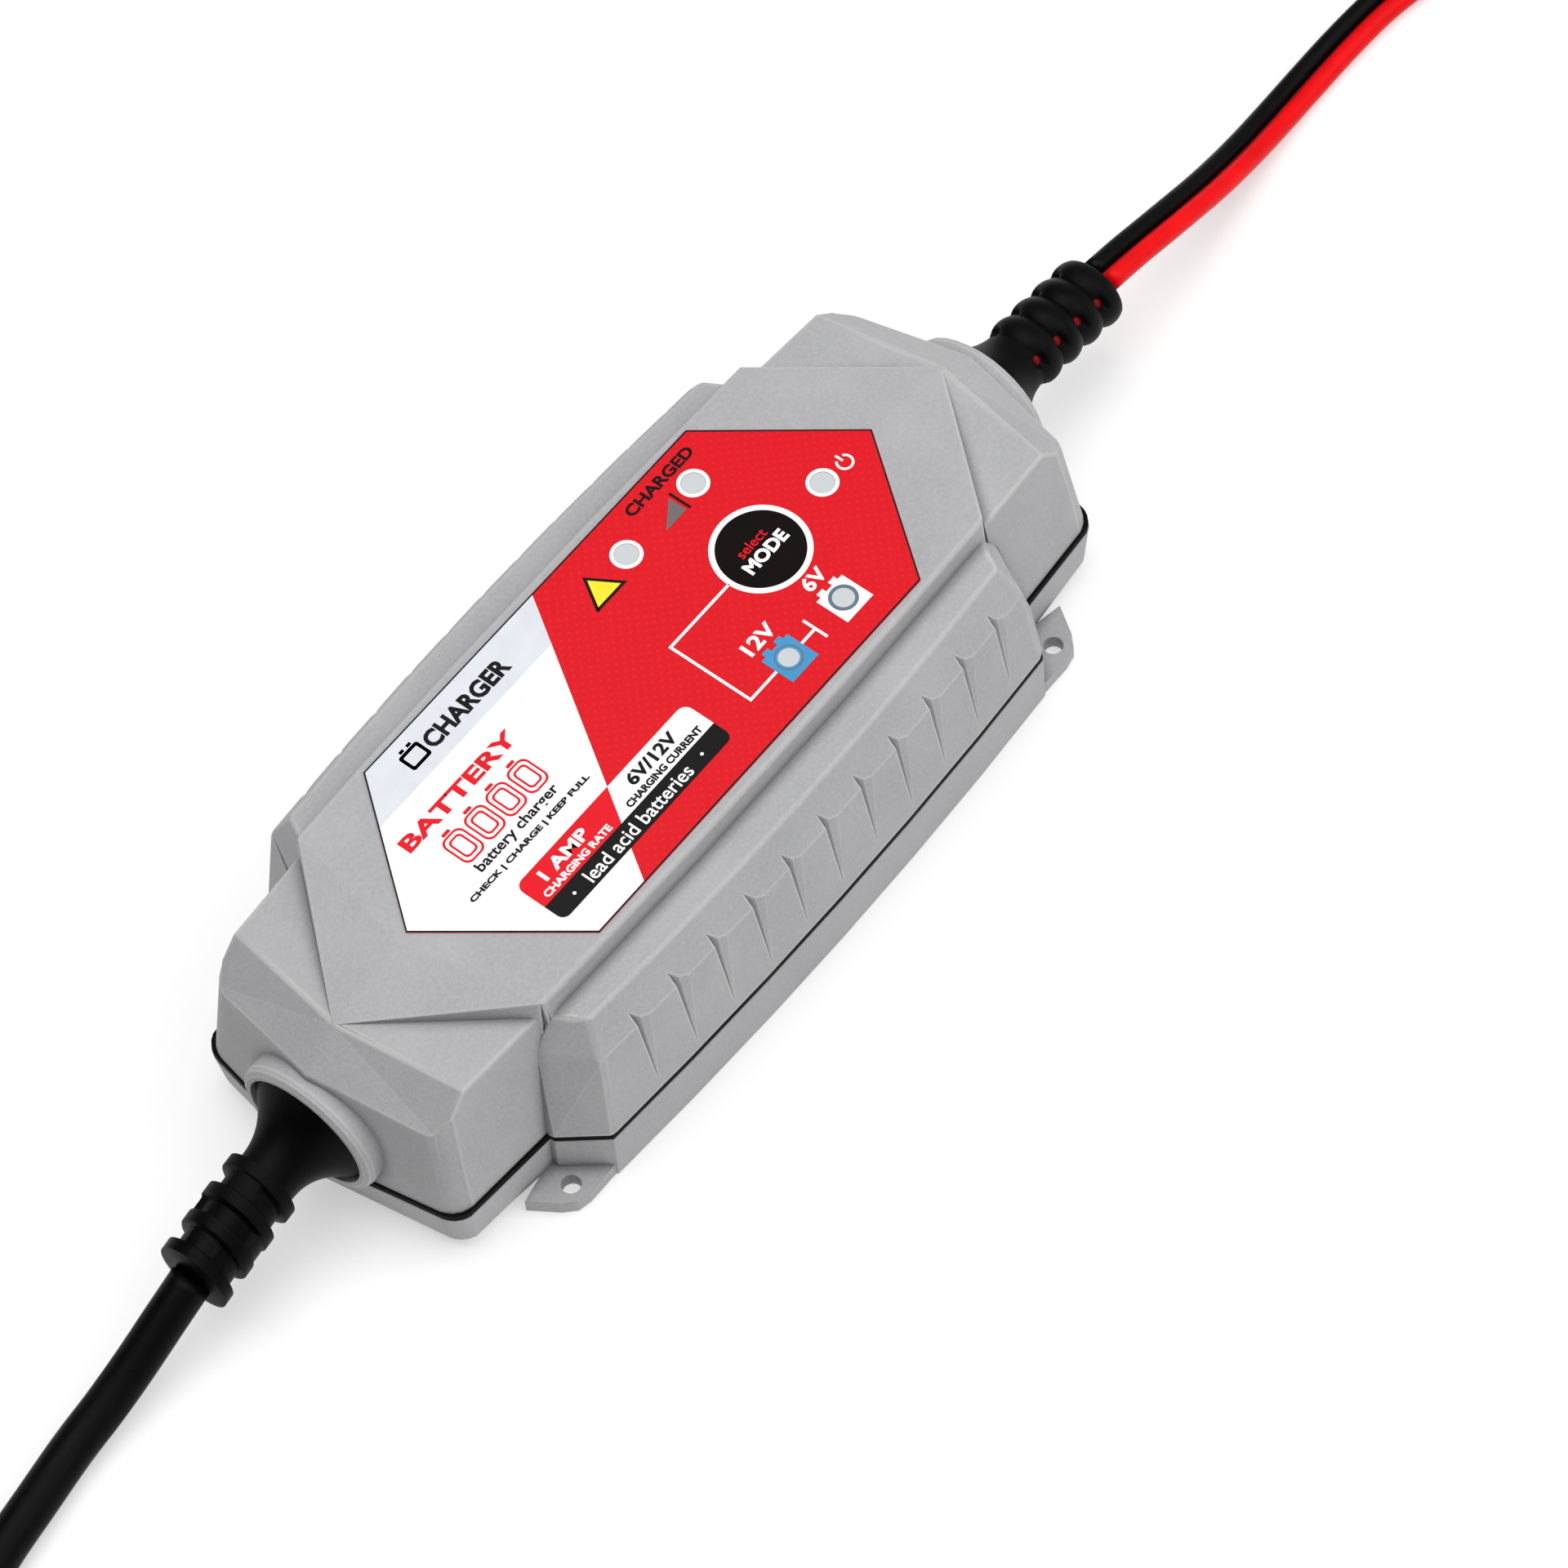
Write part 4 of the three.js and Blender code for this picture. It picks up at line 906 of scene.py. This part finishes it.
def boot(name, node, side, exit_x, exit_z, radius_at):
    """A boot lofted along its sagging centre line; radius_at gives its skin by distance and angle."""
    length = exit_x - BOOT_START
    steps, around = round(length * 5), 64
    bm = bmesh.new()
    rings = []
    for j in range(steps + 1):
        along = length * j / steps
        height = PORT_Z - boot_sag(along, length, PORT_Z - exit_z)
        ring = []
        for k in range(around):
            turn = 2 * math.pi * k / around
            radius = radius_at(along, turn, length)
            place = (side * (BOOT_START + along), radius * math.cos(turn), height + radius * math.sin(turn))
            ring.append(bm.verts.new(Vector(place) * MM))
        rings.append(ring)
    loft(bm, rings)
    bmesh.ops.recalc_face_normals(bm, faces=bm.faces)
    piece = new_piece(name, bm, "cord_rubber")
    piece.data.set_sharp_from_angle(angle=math.radians(40))
    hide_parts(node)


def trumpet(along, waist, end):
    """Flange, then a hollow flare that has come down to the waist at end."""
    if along < FLANGE_LENGTH:
        return FLANGE_R
    t = min(1, (along - FLANGE_LENGTH) / (end - FLANGE_LENGTH))
    return waist + (FLANGE_R - waist) * (1 - t) ** 2.3


def mains_boot_radius(along, turn, length):
    """Four square rings; webs join them at the sides or above and below in turn."""
    base = trumpet(along, 5.0, 14.5)
    best = base
    for k in range(4):
        centre = length - 1.3 - RING_PITCH * (3 - k)
        ring = smooth(along, centre - 1.25, centre - 0.95)
        ring *= 1 - smooth(along, centre + 0.95, centre + 1.25)
        best = max(best, base + (RING_R - base) * ring)
        if k < 3:
            share = abs(math.cos(turn)) if k % 2 else abs(math.sin(turn))
            inside = smooth(along, centre, centre + 0.5)
            inside *= 1 - smooth(along, centre + RING_PITCH - 0.5, centre + RING_PITCH)
            best = max(best, base + (WEB_R - base) * inside * smooth(share, 0.86, 0.92))
    return best - 0.35 * (1 - smooth(length - along, 0, 0.4))


def battery_boot_radius(along, turn, length):
    """Four soft bulges, with a small oval window in each side of every waist."""
    radius = trumpet(along, WAIST_R, 15)
    tail = along - (length - 4 * BULGE)
    if tail > 0:
        wave = abs(math.sin(math.pi * tail / BULGE)) ** 0.8
        radius = max(radius, WAIST_R + 0.95 * wave)
        radius -= 0.9 * (1 - smooth(length - along, -0.1, 1.0))
    for place, middle in WINDOWS:
        across = 6 * ((turn - middle + math.pi) % (2 * math.pi) - math.pi)
        away = math.hypot((along - place) / 1.25, across / 1.6)
        radius -= 1.3 * (1 - smooth(away, 0.55, 1.0))
    return radius


def boot_windows():
    """The red core that shows at the bottom of each window, in a red much darker than the wire's own:
    painted shade of the window's depth.
    """
    length = WIRE_BOOT_X - BOOT_START
    reach = 4.55  # from the centre line to the middle of a window's red spot
    bm = bmesh.new()
    for place, turn in WINDOWS:
        height = PORT_Z - boot_sag(place, length, PORT_Z - WIRE_BOOT_Z)
        middle = Vector((BOOT_START + place, reach * math.cos(turn), height + reach * math.sin(turn)))
        shape = Matrix.Translation(middle * MM) @ Matrix.Rotation(turn, 4, "X")
        shape = shape @ Matrix.Diagonal((0.85 * MM, 0.55 * MM, 1.0 * MM, 1))
        bmesh.ops.create_icosphere(bm, subdivisions=3, radius=1, matrix=shape)
    # painted shade: the core's red is darkened well below the wire's own red
    red = plastic("red_core_painted_shade", (0.2, 0.001, 0.004), 0.4, 0.15)
    new_piece("battery_boot_windows", bm, "wire_red", red)


boot("mains_boot_rubber", "mains_boot", -1, MAINS_BOOT_X, MAINS_BOOT_Z, mains_boot_radius)
boot("battery_boot_rubber", "battery_boot", 1, WIRE_BOOT_X, WIRE_BOOT_Z, battery_boot_radius)
boot_windows()


# ---------------- coil ties
def coil_tie(name, coil, middle, half_width, height, turn, width):
    """A hook-and-loop strap round the bundle of a coil, with its free end lapped on top."""
    thick, lap_thick, steps = 0.8, 0.9, 8
    radius = min(half_width, height / 2) * 0.72
    outline = []
    for side, up, start in ((1, -1, 270), (1, 1, 0), (-1, 1, 90), (-1, -1, 180)):
        cx = side * (half_width - radius)
        cz = height / 2 + up * (height / 2 - radius)
        outline += arc(cx, cz, radius, start, start + 90, steps)
    away = Vector((math.cos(turn), math.sin(turn), 0))
    along = Vector((-away.y, away.x, 0))
    centre = Vector((*coil, 0)) + away * middle
    bm = bmesh.new()
    loops = []
    for grow in (0, thick):
        for shift in (-width / 2, width / 2):
            loop = []
            for x, z in outline:
                out = Vector((x, z - height / 2)).normalized() * grow
                place = centre + away * (x + out.x) + along * shift
                place.z = max(0.02 + 0.3 * (grow == 0), z + out.y)
                loop.append(bm.verts.new(place * MM))
            loops.append(loop)
    for a, b in ((0, 1), (1, 3), (3, 2), (2, 0)):
        bridge(bm, loops[a], loops[b])
    place = Matrix.Translation(centre * MM) @ Matrix.Rotation(turn, 4, "Z")
    reach, half, low = 0.45 * half_width, 0.48 * width, height + 0.75
    add_block(bm, (1.5 - reach, -half, low), (1.5 + reach, half, low + lap_thick), place)
    bmesh.ops.recalc_face_normals(bm, faces=bm.faces)
    soften(new_piece(name, bm, "cord_rubber", STRAP), 0.25)


def strap_cloth():
    """Black hook-and-loop tape."""
    g = Graph(new_material("strap_cloth", (0.02, 0.02, 0.022), 0.85))
    loops = g.noise(1400, 4, 0.8)
    g.set(Base_Color=g.mix(g.ramp(loops, 0.35, 0.7), (0.008, 0.008, 0.009, 1), (0.05, 0.05, 0.055, 1)))
    g.set(Roughness=g.ramp(loops, 0.3, 0.7, 0.75, 0.95))
    g.set(Normal=g.bump(loops, 0.6, 0.0003))
    return g.owner


STRAP = strap_cloth()
coil_tie("mains_coil_tie", MAINS_COIL, MAINS_MIDDLE, 10.7, 21.2, math.radians(118), 11)
coil_tie("battery_coil_tie", WIRE_COIL, WIRE_MIDDLE, 7.1, 14.0, math.radians(0), 7)


# ---------------- battery clips
CLIP_LOW = 14.1  # the underside of both clips
SLEEVE_END = 5.5  # where a handle's insulation stops, ahead of the pin
CLIP_PLACES = {"red": (246.0, -8.4, 0.0), "black": (230.0, 32.4, math.pi)}
SPRING_R, SPRING_WIRE_R = 2.5, 0.34


def clip_frame(colour):
    """From a clip's own frame, handle towards -X and jaw towards +X, to the whole object's."""
    x, y, turn = CLIP_PLACES[colour]
    return Matrix.Translation(Vector((x, y, CLIP_LOW)) * MM) @ Matrix.Rotation(turn, 4, "Z")


def insulated(name, bm, colour, rounding, body="charger"):
    """A piece in the colour of its clip's handles."""
    piece = new_piece(name, bm, "clip_" + colour, body=body)
    soften(piece, rounding, 3)
    return piece


def lever(colour, kind, body):
    """The pressed steel lever, bare from the jaw back to where the handle's insulation stops."""
    node = f"{colour}_clip_{kind}_jaw"
    place = clip_frame(colour)
    bm = merged_copy(node)
    bmesh.ops.bisect_plane(
        bm,
        geom=[*bm.verts, *bm.edges, *bm.faces],
        dist=1e-7,
        plane_co=place @ Vector((SLEEVE_END * MM, 0, 0)),
        plane_no=place.to_3x3() @ Vector((1, 0, 0)),
    )
    piece = insulated(f"{colour}_clip_{kind}_lever", bm, colour, 0.45, body)
    piece.data.materials.append(MATERIALS["clip_steel"])
    back = place.inverted()
    for polygon in piece.data.polygons:
        if (back @ polygon.center).x > SLEEVE_END * MM:
            polygon.material_index = 1
    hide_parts(node)
    return piece


def handle_ribs(colour, kind, body, bend):
    """Raised ribs across the outer side of a handle."""
    bm = bmesh.new()
    for k in range(8):
        x = -25.4 + 1.7 * k
        skin = bend * (9.15 - 0.6 * (x + 27) / 13)  # the handle's sloping outer side
        low, high = sorted((skin - bend * 0.6, skin + bend * 0.45))
        add_block(bm, (x - 0.45, low, 0.9), (x + 0.45, high, 9.1), clip_frame(colour))
    return insulated(f"{colour}_clip_{kind}_ribs", bm, colour, 0.3, body)


def jaw_teeth(colour, kind, body, bend):
    """Two rows of saw teeth along the inner side of a jaw."""
    place = clip_frame(colour)
    bm = bmesh.new()
    for k in range(7):
        x = 15.6 + 1.5 * k
        root = 3.8 - (x - 14) * 3.45 / 12  # the jaw's inner side, which closes towards its tip
        tip = max(0.12, root - 1.1)
        corners = [(x - 0.7, root + 0.4), (x + 0.7, root + 0.2), (x + 0.1, tip)]
        for low in (1.2, 5.6):
            rings = []
            for z in (low, low + 3.2):
                points = [Vector((cx, bend * cy, z)) * MM for cx, cy in corners]
                rings.append([bm.verts.new(place @ point) for point in points])
            loft(bm, rings)
    bmesh.ops.recalc_face_normals(bm, faces=bm.faces)
    return new_piece(f"{colour}_clip_{kind}_teeth", bm, "clip_steel", body=body, flat=True)


def clip_spring(colour):
    """A torsion spring in two parts, each with a leg along its own handle."""
    place = clip_frame(colour)
    parts = []
    for kind, body, way, first, steps, low, rise in (
        ("fixed", "charger", -1, -95, 15, 4.42, 0.45),
        ("moving", f"{colour}_lever", 1, 95, 6, 5.62, 0),
    ):
        line = [Vector((x, way * y, low)) for x, y in ((-14, 4.1), (-9, 3.5), (-4, 2.8))]
        for k in range(steps):
            turn = math.radians(first - way * 30 * k)
            x, y = SPRING_R * math.cos(turn), SPRING_R * math.sin(turn)
            line.append(Vector((x, y, low + rise * k / steps)))
        placed = [(place @ (point * MM)) / MM for point in line]
        name = f"{colour}_clip_spring_{kind}_leg"
        parts.append(tube(name, placed, SPRING_WIRE_R, "clip_steel", body, 10))
    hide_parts(f"{colour}_clip_spring")
    return parts


def clip_rivets(colour):
    """The domed heads at both ends of the clip's pin."""
    bm = bmesh.new()
    for z in (9.8, 0.2):
        shape = clip_frame(colour) @ Matrix.Translation(Vector((0, 0, z)) * MM)
        shape = shape @ Matrix.Diagonal((2.3 * MM, 2.3 * MM, 0.75 * MM, 1))
        bmesh.ops.create_uvsphere(bm, u_segments=24, v_segments=12, radius=1, matrix=shape)
    return new_piece(f"{colour}_clip_rivets", bm, "clip_steel")


def lead_sleeve(colour):
    """The short collar where the lead's core enters the fixed handle."""
    bm = bmesh.new()
    add_disc(bm, (-27.9, -7.2, 5.0), 2.2, 2.2, clip_frame(colour))
    return insulated(f"{colour}_clip_lead_sleeve", bm, colour, 0.3)


def battery_clip(colour):
    """All the pieces of one clip, at the far end of its lead."""
    pieces = []
    for kind, body, bend in (("fixed", "charger", -1), ("moving", f"{colour}_lever", 1)):
        pieces.append(lever(colour, kind, body))
        pieces.append(handle_ribs(colour, kind, body, bend))
        pieces.append(jaw_teeth(colour, kind, body, bend))
    pieces += clip_spring(colour)
    return pieces + [clip_rivets(colour), lead_sleeve(colour), NODES[f"{colour}_clip_pin"]]


# ---------------- mains plug
def moulded(name, bm, rounding, segments=3):
    """A piece of the plug's black rubber."""
    piece = new_piece(name, bm, "cord_rubber")
    soften(piece, rounding, segments)
    return piece


def plug():
    """A flat two-pin plug: soft-edged body with grip ribs, a ringed tail and half-sleeved pins."""
    here = Matrix.Translation(Vector(PLUG) * MM)
    shell = moulded("plug_shell", merged_copy("plug_body"), 2.2, 5)
    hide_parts("plug_body")

    grip = bmesh.new()
    for k in range(6):
        x = -11.5 - 1.9 * k
        half = 5.4 + 5 * min(1, (-x - 8) / 14)
        for low, high in ((6.4, 7.35), (-7.2, -6.3)):
            add_block(grip, (x - 0.5, -half, low), (x + 0.5, half, high), here)
    ribs = moulded("plug_grip_ribs", grip, 0.35)

    tail = bmesh.new()
    for k in range(5):
        add_disc(tail, (1.0 + 2.3 * k, 0, 0), 5.6 - 0.25 * k, 1.6 if k else 3.4, here, 40)
    relief = moulded("plug_tail_relief", tail, 0.4)

    tubes = bmesh.new()
    for side in (-9.4, 9.4):
        add_disc(tubes, (-40.2, side, 0), 2.12, 9.4, here)
    sleeves = moulded("plug_pin_sleeves", tubes, 0.15, 2)
    return [shell, ribs, relief, sleeves, NODES["plug_pin_1"], NODES["plug_pin_2"]]


# ---------------- leads laid out
def make_cord(name, points, diameter, slot, nodes, **facts):
    """A lead or one of its cores, drawn along its points."""
    line = smooth_line(points, 4)
    piece = tube(name, line, diameter / 2, slot)
    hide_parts(*nodes)
    return piece


make_cord(
    "mains_cord",
    mains_points(),
    MAINS_D,
    "cord_rubber",
    ["mains_lead", "mains_coil", "mains_lead_tail"],
    exit=(-0.1095, 0, 0.013),
    length=1.8,
    far_end="plug",
    stiffness="medium",
    with_pieces=plug(),
)
WIRE_NODES = {
    "red": ["battery_lead_red", "battery_coil", "battery_lead_tail_red"],
    "black": ["battery_lead_black", "battery_lead_tail_black"],
}
for colour, nodes in WIRE_NODES.items():
    make_cord(
        "battery_wire_" + colour,
        wire_points(colour == "red"),
        WIRE_D,
        "wire_" + colour,
        nodes,
        exit=(0.113, 0, 0.0166),
        length=1.12,
        far_end="tool",
        stiffness="limp",
        with_pieces=battery_clip(colour),
    )


# ---------------- floor and light
def area_light(name, place, power):
    """A soft square lamp that shines on the origin."""
    light = add_object(name, bpy.data.lights.new(name, "AREA"))
    light.location = place
    light.rotation_euler = (-Vector(place)).to_track_quat("-Z", "Y").to_euler()
    light.data.size = 1.2
    light.data.energy = power


def make_sky():
    """White light, stronger from the right and the near side than from the left and behind."""
    world = bpy.data.worlds.new("World")
    world.use_nodes = True
    g = Graph(world)
    place = g.add("TexCoord").outputs["Generated"]
    inputs = {0: place, 1: (0.55, -0.42, 0.72)}
    towards = g.add("VectorMath", inputs, operation="DOT_PRODUCT").outputs["Value"]
    background = world.node_tree.nodes["Background"].inputs
    g.feed(background["Color"], (1, 1, 1, 1))
    g.feed(background["Strength"], g.ramp(towards, -0.45, 1, 0, 0.74))
    bpy.context.scene.world = world


def make_studio():
    """A pale floor under the object, the sky and two lamps."""
    bpy.ops.mesh.primitive_plane_add(size=30, location=(0, 0, -0.0002))
    floor = bpy.context.object
    floor.name = "floor"
    paper = new_material("floor_paper", (0.58, 0.58, 0.58), 0.9)
    g = Graph(paper)
    g.set(Roughness=g.ramp(g.noise(30, 2), 0.3, 0.7, 0.85, 0.95))
    g.set(Emission_Color=(1, 1, 1, 1), Emission_Strength=0.42)
    floor.data.materials.append(paper)
    make_sky()
    area_light("key", (0.55, -0.85, 1.2), 7)
    area_light("overhead", (-0.1, 0.2, 1.4), 13.5)
    bpy.context.scene.view_settings.view_transform = "Standard"


make_studio()
